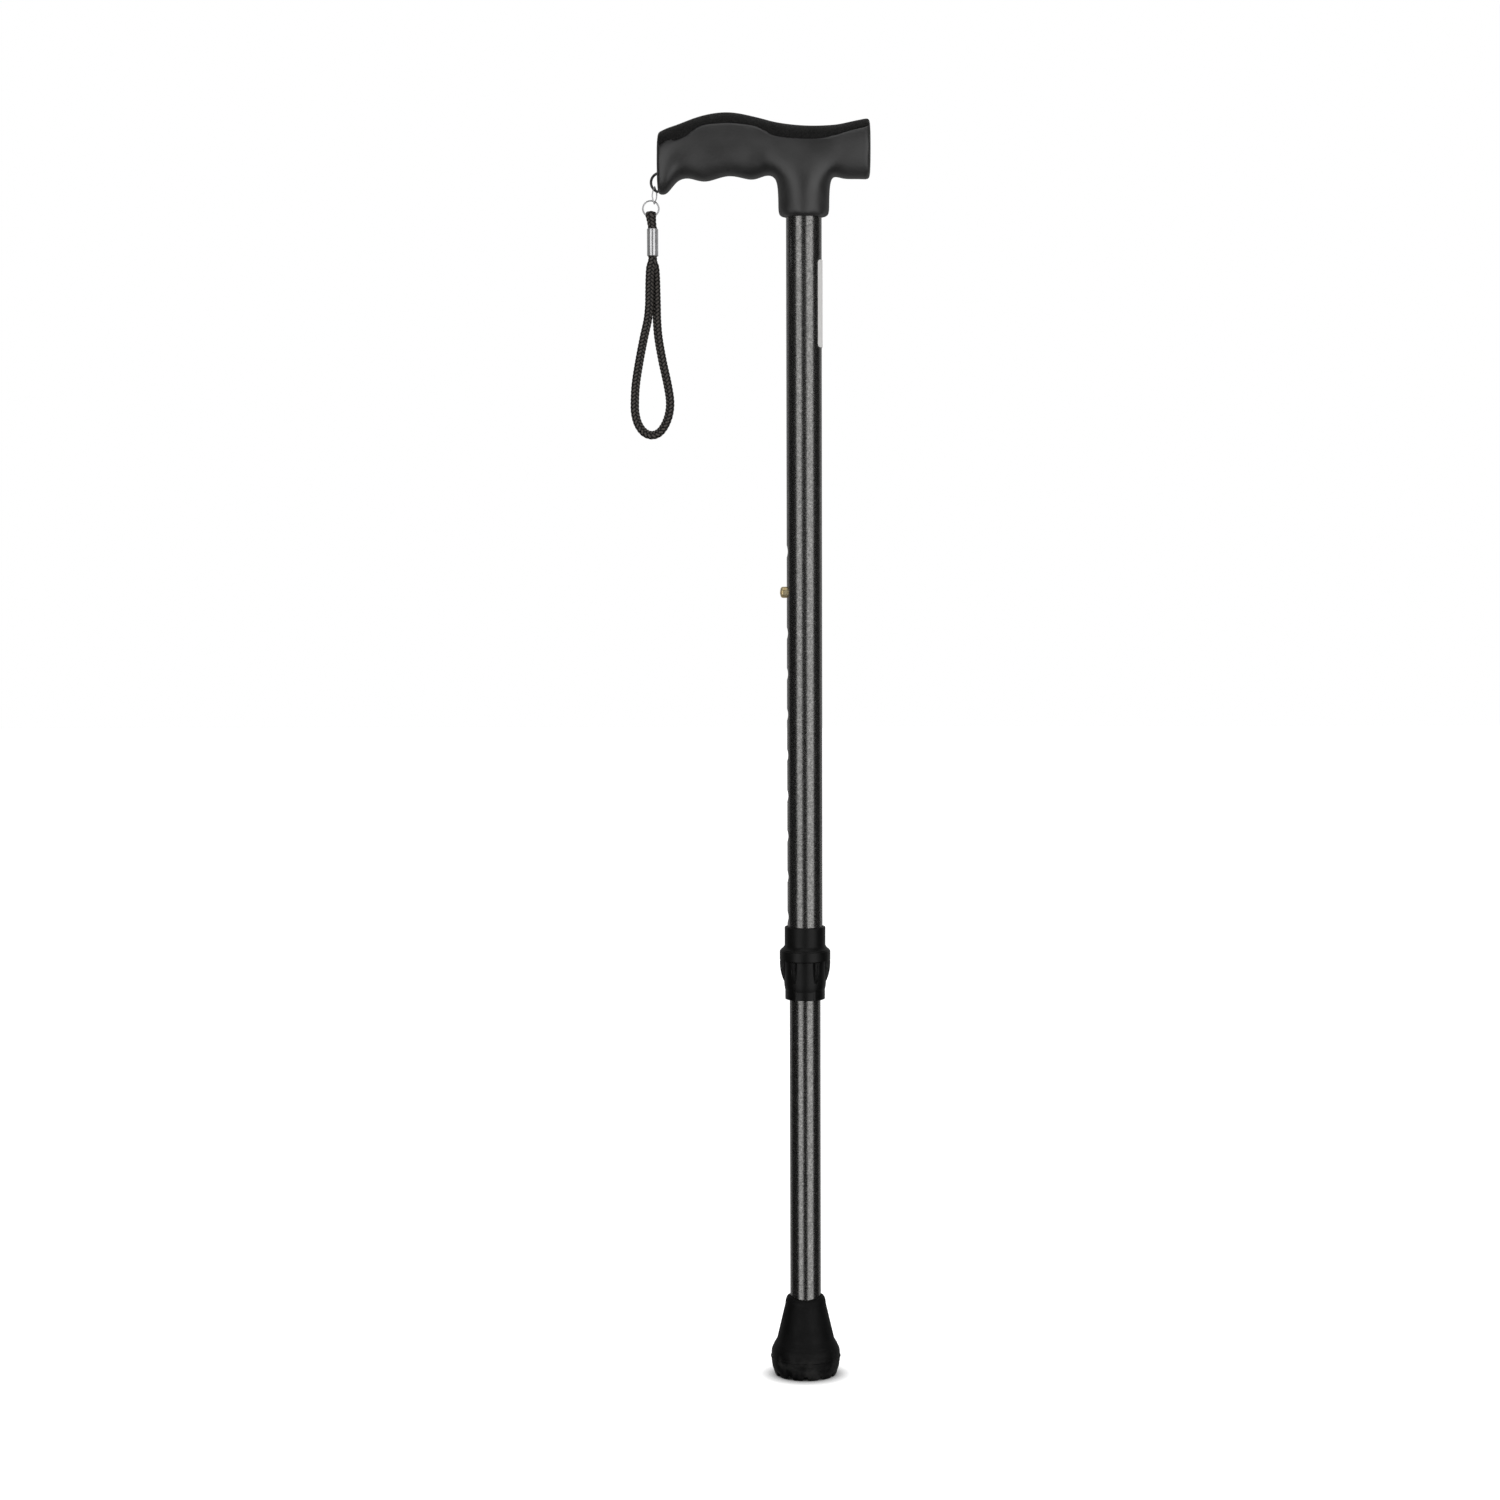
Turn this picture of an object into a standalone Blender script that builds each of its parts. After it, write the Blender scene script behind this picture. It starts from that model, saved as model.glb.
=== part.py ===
"""Adjustable walking cane with a T handle, a wrist strap and a rubber foot.

Metres, +Z up. The tube's axis is Z, the foot stands on z = 0, and the nose of the
handle points towards -X, over the row of adjusting holes.
"""
import math

import bmesh
import bpy
import numpy as np
from mathutils import Matrix, Vector

# Clearances
FIT_GAP = 0.0003
SLIDE_GAP = 0.0003
ROUND_SIDES = 32
INNER_SIDES = 24
SMALL_SIDES = 16
HOLE_SIDES = 14
CORD_SIDES = 10
BEVEL_STEPS = 2
SHARP_ANGLE = math.radians(32)

# Tubes, from the upper one's outside inwards
UPPER_TUBE_RADIUS = 0.0110
UPPER_TUBE_WALL = 0.0010
LOWER_TUBE_WALL = 0.0012
UPPER_BORE_RADIUS = UPPER_TUBE_RADIUS - UPPER_TUBE_WALL
LOWER_TUBE_RADIUS = UPPER_BORE_RADIUS - SLIDE_GAP
LOWER_BORE_RADIUS = LOWER_TUBE_RADIUS - LOWER_TUBE_WALL

# Height adjustment
HOLE_PITCH = 0.0254
HOLE_COUNT = 10
HOLE_IN_USE = 2
BUTTON_HEIGHT = 0.4945
BUTTON_RADIUS = 0.0035
BUTTON_STAND_OUT = 0.0042
BUTTON_FLANGE = 0.0007
BUTTON_FLANGE_THICKNESS = 0.0008
BUTTON_DOME = 0.0024
LOWER_TUBE_ABOVE_BUTTON = 0.0400
BUSH_HEAD = 0.0030
BUSH_SPIGOT = 0.0090
BUSH_WALL = 0.0022

# Snap spring
SPRING_THICKNESS = 0.0006
SPRING_WIDTH = 0.0060
SPRING_DROP = 0.0425
SPRING_ABOVE_BUTTON = 0.0045

# Rubber foot
FOOT_HEIGHT = 0.0510
FOOT_RIM_DIP = 0.0018
FOOT_LIP = 0.0028
FOOT_SHOULDER_RADIUS = 0.0180
FOOT_SHOULDER_HEIGHT = 0.0233
FOOT_BASE_RADIUS = 0.0218
FOOT_BASE_HEIGHT = 0.0160
FOOT_BAND_HEIGHT = 0.0088
FOOT_BAND_STEP = 0.0004
FOOT_TREAD_RADIUS = 0.0196
FOOT_FLOOR = 0.0080
TREAD_BLOCKS = 12
TREAD_DEPTH = 0.0017
TREAD_GROOVE = 0.0022
TREAD_LAND_RADIUS = 0.0075
TREAD_RING_RADIUS = 0.0105
WASHER_THICKNESS = 0.0012

# Collar: sleeve, collet and lock nut
COLLAR_TOP = 0.2854
COLLAR_PARTING = 0.2643
SLEEVE_WALL = 0.0015
SLEEVE_BEVEL = 0.0008
FLANGE_OVERHANG = 0.0039
FLANGE_HEIGHT = 0.0063
FLANGE_FLARE = 0.0097
SPIGOT_LENGTH = 0.0130
SPIGOT_WALL = 0.0020
NUT_HEIGHT = 0.0244
NUT_WALL = 0.0011
NUT_END_WALL = 0.0014
NUT_RIBS = 6
RIB_WIDTH = 0.0046
RIB_LENGTH = 0.0148
COLLET_HEIGHT = 0.0062
COLLET_EDGE = 0.0005
COLLET_SLOT = 0.0016

# Handle
NECK_WALL = 0.0044
NECK_LENGTH = 0.0249
NECK_RADIUS = UPPER_TUBE_RADIUS + FIT_GAP + NECK_WALL
SOCKET_DEPTH = 0.0435
NOSE_REACH = 0.0904
HEEL_REACH = 0.0411
GRIP_BASE = 0.7500
# Share of the nose's reach, height of the crest and of the underside over GRIP_BASE,
# half width: the finger scallops lie between the ridges at 0.67 and 0.36.
NOSE_STATIONS = (
    (1.000, 0.0272, -0.0094, 0.0118),
    (0.935, 0.0301, -0.0094, 0.0134),
    (0.868, 0.0323, -0.0025, 0.0140),
    (0.774, 0.0354, -0.0006, 0.0145),
    (0.669, 0.0384, -0.0022, 0.0149),
    (0.509, 0.0397, 0.0009, 0.0150),
    (0.354, 0.0376, -0.0012, 0.0151),
    (0.266, 0.0354, 0.0008, 0.0152),
)
# The same for the heel, as a share of its reach
HEEL_STATIONS = (
    (0.584, 0.0327, -0.0008, 0.0150),
    (0.779, 0.0344, -0.0012, 0.0146),
    (1.000, 0.0361, -0.0015, 0.0138),
)
NECK_CREST = (0.0333, 0.0315, 0.0316)
GRIP_SQUARENESS = 0.78
NECK_FILLET = 0.0070
SUBDIVISIONS = 2
RIM_CREASE = 0.33
PAD_THICKNESS = 0.0026
PAD_DEPTH_NOSE = 0.0114
PAD_DEPTH_HEEL = 0.0086
PLUG_LENGTH = 0.0280
PLUG_FLANGE = 0.0015
SCREW_RADIUS = 0.0018
SCREW_HEAD_RADIUS = 0.0040
SCREW_HEAD_HEIGHT = 0.0024
SCREW_LENGTH = 0.0260

# Blank sticker
LABEL_HEIGHT = 0.0536
LABEL_BELOW_NECK = 0.0258
LABEL_ANGLE = math.radians(80)
LABEL_THICKNESS = 0.0003
LABEL_GAP = 0.0002
LABEL_CORNER = 0.0020

# Strap lug on the nose, and what hangs in it
LUG_ABOVE_CHIN = 0.0066
LUG_RADIUS = 0.0067
LUG_STAND_OUT = 0.0046
LUG_THICKNESS = 0.0016
LUG_WIDTH = 0.0024
LUG_START = math.radians(95)
LUG_END = math.radians(256)
LINK_WIRE_RADIUS = 0.0004
LINK_LENGTH = 0.01045
LINK_ANGLE = math.radians(215)
LINK_LEAN = math.radians(2)
LINK_HALF_WIDTH = 0.0030
LINK_TWIST = math.radians(24)
RING_WIRE_RADIUS = 0.0005
RING_RADIUS = 0.0054
RING_HANG_ANGLE = math.radians(55)
STRAP_SHIFT = 0.0010
CORD_RADIUS = 0.0027
STRAND_GAP = 0.0003
FOLD_HALF_THICKNESS = 0.0013
FOLD_HALF_WIDTH = 0.0032
FOLD_LENGTH = 0.0075
CRIMP_LENGTH = 0.0165
CRIMP_WALL = 0.00045
CRIMP_GAP = 0.0002
CORD_STEP = 2.8 * CORD_RADIUS

GRAPHITE = (0.045, 0.043, 0.041)
BLACK_PLASTIC = (0.030, 0.030, 0.031)
GRAINED_PAD = (0.050, 0.049, 0.047)
RUBBER = (0.028, 0.028, 0.029)
BRASS = (0.62, 0.44, 0.17)
STEEL = (0.62, 0.62, 0.63)
NYLON = (0.75, 0.74, 0.70)
PAPER = (0.86, 0.86, 0.85)
CORD_BLACK = (0.022, 0.022, 0.023)


def clear_scene():
    for item in list(bpy.data.objects):
        bpy.data.objects.remove(item, do_unlink=True)


def material(name, colour, roughness, metallic=0.0):
    made = bpy.data.materials.new(name)
    made.use_nodes = True
    shader = made.node_tree.nodes["Principled BSDF"]
    shader.inputs["Base Color"].default_value = (*colour, 1.0)
    shader.inputs["Roughness"].default_value = roughness
    shader.inputs["Metallic"].default_value = metallic
    return made


def finish(name, bm, stuff, smooth=True):
    """Close a bmesh into a named object with outward faces."""
    bmesh.ops.remove_doubles(bm, verts=bm.verts, dist=1e-6)
    bmesh.ops.recalc_face_normals(bm, faces=bm.faces)
    mesh = bpy.data.meshes.new(name)
    bm.to_mesh(mesh)
    bm.free()
    if smooth:
        mesh.shade_smooth()
        mesh.set_sharp_from_angle(angle=SHARP_ANGLE)
    made = bpy.data.objects.new(name, mesh)
    bpy.context.scene.collection.objects.link(made)
    if stuff is not None:
        made.data.materials.append(stuff)
    return made


def as_cutter(cutter):
    cutter.hide_render = True
    cutter.display_type = "WIRE"
    return cutter


def boolean(target, cutter, operation="DIFFERENCE"):
    change = target.modifiers.new(operation.title(), "BOOLEAN")
    change.object = as_cutter(cutter)
    change.operation = operation
    change.solver = "EXACT"


def turned_mesh(profile, sides=ROUND_SIDES, closed=True):
    """Spin a profile of (radius, height) points about Z."""
    bm = bmesh.new()
    points = [bm.verts.new((radius, 0.0, height)) for radius, height in profile]
    edges = [bm.edges.new(pair) for pair in zip(points, points[1:])]
    if closed:
        edges.append(bm.edges.new((points[-1], points[0])))
    bmesh.ops.spin(bm, geom=points + edges, cent=(0, 0, 0), axis=(0, 0, 1),
                   angle=2 * math.pi, steps=sides, use_merge=True)
    bmesh.ops.remove_doubles(bm, verts=bm.verts, dist=1e-6)
    return bm


def turned(name, profile, stuff, sides=ROUND_SIDES, closed=True):
    return finish(name, turned_mesh(profile, sides, closed), stuff)


def arc(centre, radius, start, end, steps):
    """Points of an arc from start to end, in degrees."""
    angles = np.radians(np.linspace(start, end, steps + 1))
    return [(centre[0] + radius * math.cos(a), centre[1] + radius * math.sin(a)) for a in angles]


def rod(name, radius, start, end, sides=SMALL_SIDES):
    """A plain cylinder between two points, for cutting."""
    start = Vector(start)
    end = Vector(end)
    along = end - start
    turn = along.to_track_quat("Z", "Y").to_matrix().to_4x4()
    bm = bmesh.new()
    bmesh.ops.create_cone(bm, cap_ends=True, segments=sides, radius1=radius, radius2=radius,
                          depth=along.length,
                          matrix=Matrix.Translation((start + end) / 2) @ turn)
    return finish(name, bm, None)


def smooth_route(points, step):
    """Even points on one smooth curve through the route's own points."""
    route = np.array(points, dtype=float)
    ends = np.vstack([2 * route[0] - route[1], route, 2 * route[-1] - route[-2]])
    fine = []
    for p0, p1, p2, p3 in zip(ends, ends[1:], ends[2:], ends[3:]):
        for t in np.linspace(0.0, 1.0, 24, endpoint=False):
            fine.append(0.5 * (2 * p1 + (p2 - p0) * t + (2 * p0 - 5 * p1 + 4 * p2 - p3) * t ** 2
                               + (3 * p1 - p0 - 3 * p2 + p3) * t ** 3))
    fine = np.vstack([fine, route[-1]])
    run = np.concatenate([[0.0], np.cumsum(np.linalg.norm(np.diff(fine, axis=0), axis=1))])
    count = max(2, int(round(run[-1] / step)))
    marks = np.linspace(0.0, run[-1], count + 1)
    return np.column_stack([np.interp(marks, run, fine[:, k]) for k in range(3)]), run[-1]


def tube_curve(name, points, radius, stuff, closed=False):
    """A round tube along a poly line, as a bevelled curve with filled caps."""
    data = bpy.data.curves.new(name, "CURVE")
    data.dimensions = "3D"
    data.bevel_depth = radius
    data.bevel_resolution = BEVEL_STEPS
    data.use_fill_caps = not closed
    data.render_resolution_u = 0
    line = data.splines.new("POLY")
    line.points.add(len(points) - 1)
    line.points.foreach_set("co", np.column_stack([points, np.ones(len(points))]).ravel())
    line.use_cyclic_u = closed
    line.use_smooth = True
    made = bpy.data.objects.new(name, data)
    bpy.context.scene.collection.objects.link(made)
    data.materials.append(stuff)
    return made


def bezier(start, pull, end, steps):
    """Points of a quadratic curve from start to end, drawn towards pull."""
    start, pull, end = (np.array(p) for p in (start, pull, end))
    return [tuple((1 - t) ** 2 * start + 2 * t * (1 - t) * pull + t ** 2 * end)
            for t in np.linspace(0.0, 1.0, steps + 1)]


def hole_height(number):
    """Holes are counted from the top."""
    return BUTTON_HEIGHT + (HOLE_IN_USE - number) * HOLE_PITCH


# Levels that neighbours share
SLEEVE_BORE_RADIUS = UPPER_TUBE_RADIUS + FIT_GAP
RUNNING_BORE_RADIUS = LOWER_TUBE_RADIUS + FIT_GAP
SLEEVE_SHOULDER = COLLAR_PARTING + 0.3 * FLANGE_HEIGHT
UPPER_TUBE_BOTTOM = SLEEVE_SHOULDER + FIT_GAP
NECK_BOTTOM = GRIP_BASE - NECK_LENGTH
SOCKET_TOP = NECK_BOTTOM + SOCKET_DEPTH
PLUG_TOP = SOCKET_TOP - FIT_GAP
UPPER_TUBE_TOP = PLUG_TOP - PLUG_FLANGE - FIT_GAP
WASHER_BOTTOM = FOOT_FLOOR + FIT_GAP
LOWER_TUBE_BOTTOM = WASHER_BOTTOM + WASHER_THICKNESS + FIT_GAP
LOWER_TUBE_TOP = BUTTON_HEIGHT + LOWER_TUBE_ABOVE_BUTTON
SPIGOT_RADIUS = RUNNING_BORE_RADIUS + SPIGOT_WALL
SPIGOT_END = COLLAR_PARTING - SPIGOT_LENGTH
FLANGE_RADIUS = SPIGOT_RADIUS + FLANGE_OVERHANG
COLLET_TOP = SPIGOT_END - FIT_GAP
COLLET_BOTTOM = COLLET_TOP - COLLET_HEIGHT
NUT_TOP = COLLAR_PARTING - FIT_GAP
NUT_CAVITY_RADIUS = SPIGOT_RADIUS + FIT_GAP
NUT_SKIRT_RADIUS = NUT_CAVITY_RADIUS + NUT_WALL
NUT_END_RADIUS = RUNNING_BORE_RADIUS + NUT_END_WALL
SCREW_SEAT = GRIP_BASE + NECK_CREST[1] - PAD_THICKNESS - 2 * FIT_GAP - SCREW_HEAD_HEIGHT


def away(start, reach, angle):
    """The point at this reach from start, turned from +X towards +Z."""
    return Vector(start) + reach * Vector((math.cos(angle), 0.0, math.sin(angle)))


# The hanging chain: each piece clears the one it hangs in by FIT_GAP
LUG_CENTRE = Vector((LUG_RADIUS - NOSE_REACH - LUG_STAND_OUT, 0.0,
                     GRIP_BASE + NOSE_STATIONS[0][2] + LUG_ABOVE_CHIN))
LINK_TOP = away(LUG_CENTRE, LUG_RADIUS - LUG_THICKNESS - FIT_GAP - LINK_WIRE_RADIUS, LINK_ANGLE)
LINK_BOTTOM = away(LINK_TOP, LINK_LENGTH, -math.pi / 2 - LINK_LEAN)
RING_CENTRE = away(LINK_BOTTOM, 2 * RING_WIRE_RADIUS + FIT_GAP + LINK_WIRE_RADIUS - RING_RADIUS,
                   RING_HANG_ANGLE)
RING_WIRE = away(RING_CENTRE, RING_RADIUS - RING_WIRE_RADIUS, -math.pi / 2)
STRAP_X = RING_CENTRE.x + STRAP_SHIFT
STRAND_OFFSET = CORD_RADIUS + STRAND_GAP / 2
CRIMP_TOP = RING_WIRE.z - FOLD_LENGTH
CRIMP_BOTTOM = CRIMP_TOP - CRIMP_LENGTH
STRAND_JOIN = (CRIMP_TOP + CRIMP_BOTTOM) / 2


def tube(name, outer, inner, bottom, top, stuff):
    profile = [(outer, bottom), (outer, top), (inner, top), (inner, bottom)]
    return turned(name, profile, stuff)


def button_hole_cutter(name, numbers, inner, outer):
    """A bar through the tube's wall on the nose side for each hole."""
    bm = bmesh.new()
    turn = Matrix.Rotation(math.radians(-90), 4, "Y")
    for number in numbers:
        place = Matrix.Translation((-(inner + outer) / 2, 0.0, hole_height(number)))
        bmesh.ops.create_cone(bm, cap_ends=True, segments=HOLE_SIDES,
                              radius1=BUTTON_RADIUS + FIT_GAP, radius2=BUTTON_RADIUS + FIT_GAP,
                              depth=outer - inner, matrix=place @ turn)
    return finish(name, bm, None)


def upper_tube(stuff):
    made = tube("upper_tube", UPPER_TUBE_RADIUS, UPPER_BORE_RADIUS, UPPER_TUBE_BOTTOM,
                UPPER_TUBE_TOP, stuff)
    cutter = button_hole_cutter("upper_tube_holes", range(1, HOLE_COUNT + 1),
                                UPPER_BORE_RADIUS / 2, UPPER_TUBE_RADIUS * 1.5)
    boolean(made, cutter)
    return made


def lower_tube(stuff):
    made = tube("lower_tube", LOWER_TUBE_RADIUS, LOWER_BORE_RADIUS, LOWER_TUBE_BOTTOM,
                LOWER_TUBE_TOP, stuff)
    cutter = button_hole_cutter("lower_tube_hole", [HOLE_IN_USE], LOWER_BORE_RADIUS / 2,
                                LOWER_TUBE_RADIUS * 1.5)
    boolean(made, cutter)
    return made


def tube_bush(stuff):
    """Guide bush: its spigot plugs the lower tube, its head runs in the upper tube's bore."""
    spigot = LOWER_BORE_RADIUS - FIT_GAP
    bore = spigot - BUSH_WALL
    head_bottom = LOWER_TUBE_TOP + FIT_GAP
    head_top = head_bottom + BUSH_HEAD
    profile = [
        (bore, head_bottom - BUSH_SPIGOT),
        (spigot, head_bottom - BUSH_SPIGOT),
        (spigot, head_bottom),
        (LOWER_TUBE_RADIUS, head_bottom),
        (LOWER_TUBE_RADIUS, head_top - BUSH_WALL / 2),
        (LOWER_TUBE_RADIUS - BUSH_WALL / 2, head_top),
        (bore, head_top),
    ]
    return turned("tube_bush", profile, stuff, sides=INNER_SIDES)


def snap_button(stuff):
    """Domed button on a flange that stays inside the lower tube; it slides along X."""
    flange = BUTTON_RADIUS + BUTTON_FLANGE
    flange_out = math.sqrt(LOWER_BORE_RADIUS ** 2 - flange ** 2) - FIT_GAP
    flange_in = flange_out - BUTTON_FLANGE_THICKNESS
    tip = UPPER_TUBE_RADIUS + BUTTON_STAND_OUT
    dome = [(BUTTON_RADIUS * math.cos(a), tip - BUTTON_DOME * (1 - math.sin(a)))
            for a in np.linspace(0.0, math.pi / 2, 5)]
    profile = [(0.0, flange_in), (flange, flange_in), (flange, flange_out),
               (BUTTON_RADIUS, flange_out)] + dome
    made = turned("snap_button", profile, stuff, sides=SMALL_SIDES, closed=False)
    made.rotation_euler = (0.0, math.radians(-90), 0.0)
    made.location = (0.0, 0.0, BUTTON_HEIGHT)
    return made


def snap_spring(stuff):
    """Leaf spring bent into a V, with one leg on the tube's wall and one behind the button."""
    half = SPRING_THICKNESS / 2
    wall = math.sqrt(LOWER_BORE_RADIUS ** 2 - (SPRING_WIDTH / 2) ** 2) - FIT_GAP - half
    flange = BUTTON_RADIUS + BUTTON_FLANGE
    flange_in = math.sqrt(LOWER_BORE_RADIUS ** 2 - flange ** 2) - FIT_GAP - BUTTON_FLANGE_THICKNESS
    behind = flange_in - FIT_GAP - half
    top = BUTTON_HEIGHT + SPRING_ABOVE_BUTTON
    bottom = BUTTON_HEIGHT - SPRING_DROP
    bend = wall / 2
    route = [(-behind, top), (-behind, BUTTON_HEIGHT - SPRING_ABOVE_BUTTON)]
    route += arc((wall - bend, bottom), bend, 180, 360, 10)
    route += [(wall, top)]
    line = np.array(route)
    along = np.gradient(line, axis=0)
    along /= np.linalg.norm(along, axis=1)[:, None]
    across = np.column_stack([-along[:, 1], along[:, 0]]) * half
    bm = bmesh.new()
    rows = []
    for point, side in zip(line, across):
        corners = ((point - side, -1), (point + side, -1), (point + side, 1), (point - side, 1))
        rows.append([bm.verts.new((p[0], y * SPRING_WIDTH / 2, p[1])) for p, y in corners])
    for row, after in zip(rows, rows[1:]):
        for k in range(4):
            bm.faces.new((row[k], row[(k + 1) % 4], after[(k + 1) % 4], after[k]))
    bm.faces.new(rows[0])
    bm.faces.new(rows[-1][::-1])
    return finish("snap_spring", bm, stuff)


def foot_profile():
    """Half section of the ferrule, from the middle of its tread round to its floor."""
    mouth = RUNNING_BORE_RADIUS + FOOT_LIP
    cone_top = FOOT_HEIGHT - 2 * FOOT_LIP
    edge = FOOT_BASE_RADIUS - FOOT_TREAD_RADIUS
    base = [(0.0, 0.0), (FOOT_TREAD_RADIUS - TREAD_DEPTH / 3, 0.0), (FOOT_TREAD_RADIUS, TREAD_DEPTH / 2)]
    base += bezier((FOOT_TREAD_RADIUS + edge * 0.35, TREAD_DEPTH * 1.5),
                   (FOOT_BASE_RADIUS - FOOT_BAND_STEP, TREAD_DEPTH * 2.5),
                   (FOOT_BASE_RADIUS - FOOT_BAND_STEP, FOOT_BAND_HEIGHT), 3)
    base += [(FOOT_BASE_RADIUS, FOOT_BAND_HEIGHT + FOOT_BAND_STEP)]
    flare = bezier((FOOT_BASE_RADIUS, FOOT_BASE_HEIGHT - edge), (FOOT_BASE_RADIUS, FOOT_BASE_HEIGHT + edge / 3),
                   (FOOT_SHOULDER_RADIUS + edge, FOOT_BASE_HEIGHT + edge * 1.3), 3)
    flare += bezier((FOOT_SHOULDER_RADIUS + edge * 0.9, FOOT_BASE_HEIGHT + edge * 1.7),
                    (FOOT_SHOULDER_RADIUS + edge / 5, FOOT_SHOULDER_HEIGHT - edge / 2),
                    (FOOT_SHOULDER_RADIUS, FOOT_SHOULDER_HEIGHT), 2)
    lip = [(RUNNING_BORE_RADIUS + FOOT_LIP * math.cos(a), cone_top + 2 * FOOT_LIP * math.sin(a))
           for a in np.linspace(0.0, math.radians(80), 4)]
    lip[0] = (mouth, cone_top)
    bore = [(RUNNING_BORE_RADIUS, FOOT_HEIGHT - FOOT_LIP / 5), (RUNNING_BORE_RADIUS, FOOT_FLOOR), (0.0, FOOT_FLOOR)]
    return base + flare + lip + bore


def rubber_foot(stuff):
    """Ferrule with a dipped rim in front and behind, and a ring of tread blocks below."""
    bm = turned_mesh(foot_profile(), closed=False)
    start = FOOT_HEIGHT - 3 * FOOT_LIP
    for vertex in bm.verts:
        if vertex.co.z > start:
            share = (vertex.co.z - start) / (FOOT_HEIGHT - start)
            across = vertex.co.y ** 2 / (vertex.co.x ** 2 + vertex.co.y ** 2)
            vertex.co.z -= FOOT_RIM_DIP * share * across
    made = finish("rubber_foot", bm, stuff)
    ring = turned("tread_ring", [
        (TREAD_LAND_RADIUS, -TREAD_DEPTH),
        (TREAD_RING_RADIUS, -TREAD_DEPTH),
        (TREAD_RING_RADIUS, TREAD_DEPTH),
        (TREAD_LAND_RADIUS, TREAD_DEPTH),
    ], None)
    boolean(made, ring)
    bm = bmesh.new()
    length = FOOT_BASE_RADIUS - TREAD_RING_RADIUS
    middle = TREAD_RING_RADIUS + length / 2
    for number in range(TREAD_BLOCKS):
        turn = Matrix.Rotation(2 * math.pi * number / TREAD_BLOCKS, 4, "Z")
        size = Matrix.Diagonal((length + TREAD_GROOVE, TREAD_GROOVE, 2 * TREAD_DEPTH, 1.0))
        bmesh.ops.create_cube(bm, size=1.0, matrix=turn @ Matrix.Translation((middle, 0, 0)) @ size)
    boolean(made, finish("tread_grooves", bm, None))
    return made


def foot_washer(stuff):
    top = WASHER_BOTTOM + WASHER_THICKNESS
    profile = [(0.0, WASHER_BOTTOM), (LOWER_TUBE_RADIUS, WASHER_BOTTOM), (LOWER_TUBE_RADIUS, top), (0.0, top)]
    return turned("foot_washer", profile, stuff, closed=False)


def collar_sleeve(stuff):
    """Sleeve pressed on the upper tube, with a flared flange and the spigot the nut turns on."""
    outer = SLEEVE_BORE_RADIUS + SLEEVE_WALL
    flange_top = COLLAR_PARTING + FLANGE_HEIGHT
    step = SLEEVE_BEVEL / 2
    profile = [
        (SLEEVE_BORE_RADIUS, SLEEVE_SHOULDER),
        (SLEEVE_BORE_RADIUS, COLLAR_TOP),
        (outer - SLEEVE_BEVEL, COLLAR_TOP),
        (outer, COLLAR_TOP - SLEEVE_BEVEL),
    ]
    profile += bezier((outer, COLLAR_PARTING + FLANGE_FLARE),
                      (outer + step, flange_top + 2 * SLEEVE_BEVEL),
                      (FLANGE_RADIUS - 2 * step, flange_top + step), 3)
    profile += [(FLANGE_RADIUS - 2 * step, flange_top - step)]
    profile += bezier((FLANGE_RADIUS - step, flange_top - step),
                      (FLANGE_RADIUS, flange_top - step), (FLANGE_RADIUS, flange_top - 3 * step), 2)
    profile += [
        (FLANGE_RADIUS, COLLAR_PARTING + step / 2),
        (FLANGE_RADIUS - step / 2, COLLAR_PARTING),
        (SPIGOT_RADIUS, COLLAR_PARTING),
        (SPIGOT_RADIUS, SPIGOT_END),
        (RUNNING_BORE_RADIUS, SPIGOT_END),
        (RUNNING_BORE_RADIUS, SLEEVE_SHOULDER),
    ]
    return turned("collar_sleeve", profile, stuff)


def collet(stuff):
    """Cone shaped compression ring with one slot."""
    profile = [
        (RUNNING_BORE_RADIUS, COLLET_BOTTOM),
        (RUNNING_BORE_RADIUS + COLLET_EDGE, COLLET_BOTTOM),
        (SPIGOT_RADIUS, COLLET_TOP),
        (RUNNING_BORE_RADIUS, COLLET_TOP),
    ]
    made = turned("collet", profile, stuff)
    bm = bmesh.new()
    size = Matrix.Diagonal((SPIGOT_RADIUS, COLLET_SLOT, 2 * COLLET_HEIGHT, 1.0))
    place = Matrix.Translation((SPIGOT_RADIUS, 0.0, (COLLET_TOP + COLLET_BOTTOM) / 2))
    bmesh.ops.create_cube(bm, size=1.0, matrix=place @ size)
    boolean(made, finish("collet_slot", bm, None))
    return made


def rib_reach(share):
    """How far a rib stands past the nut's cavity, from its top (0) to its foot (1)."""
    return (FLANGE_RADIUS - FIT_GAP / 6 - NUT_CAVITY_RADIUS) * (1.0 - 0.95 * share ** 2.4)


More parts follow.
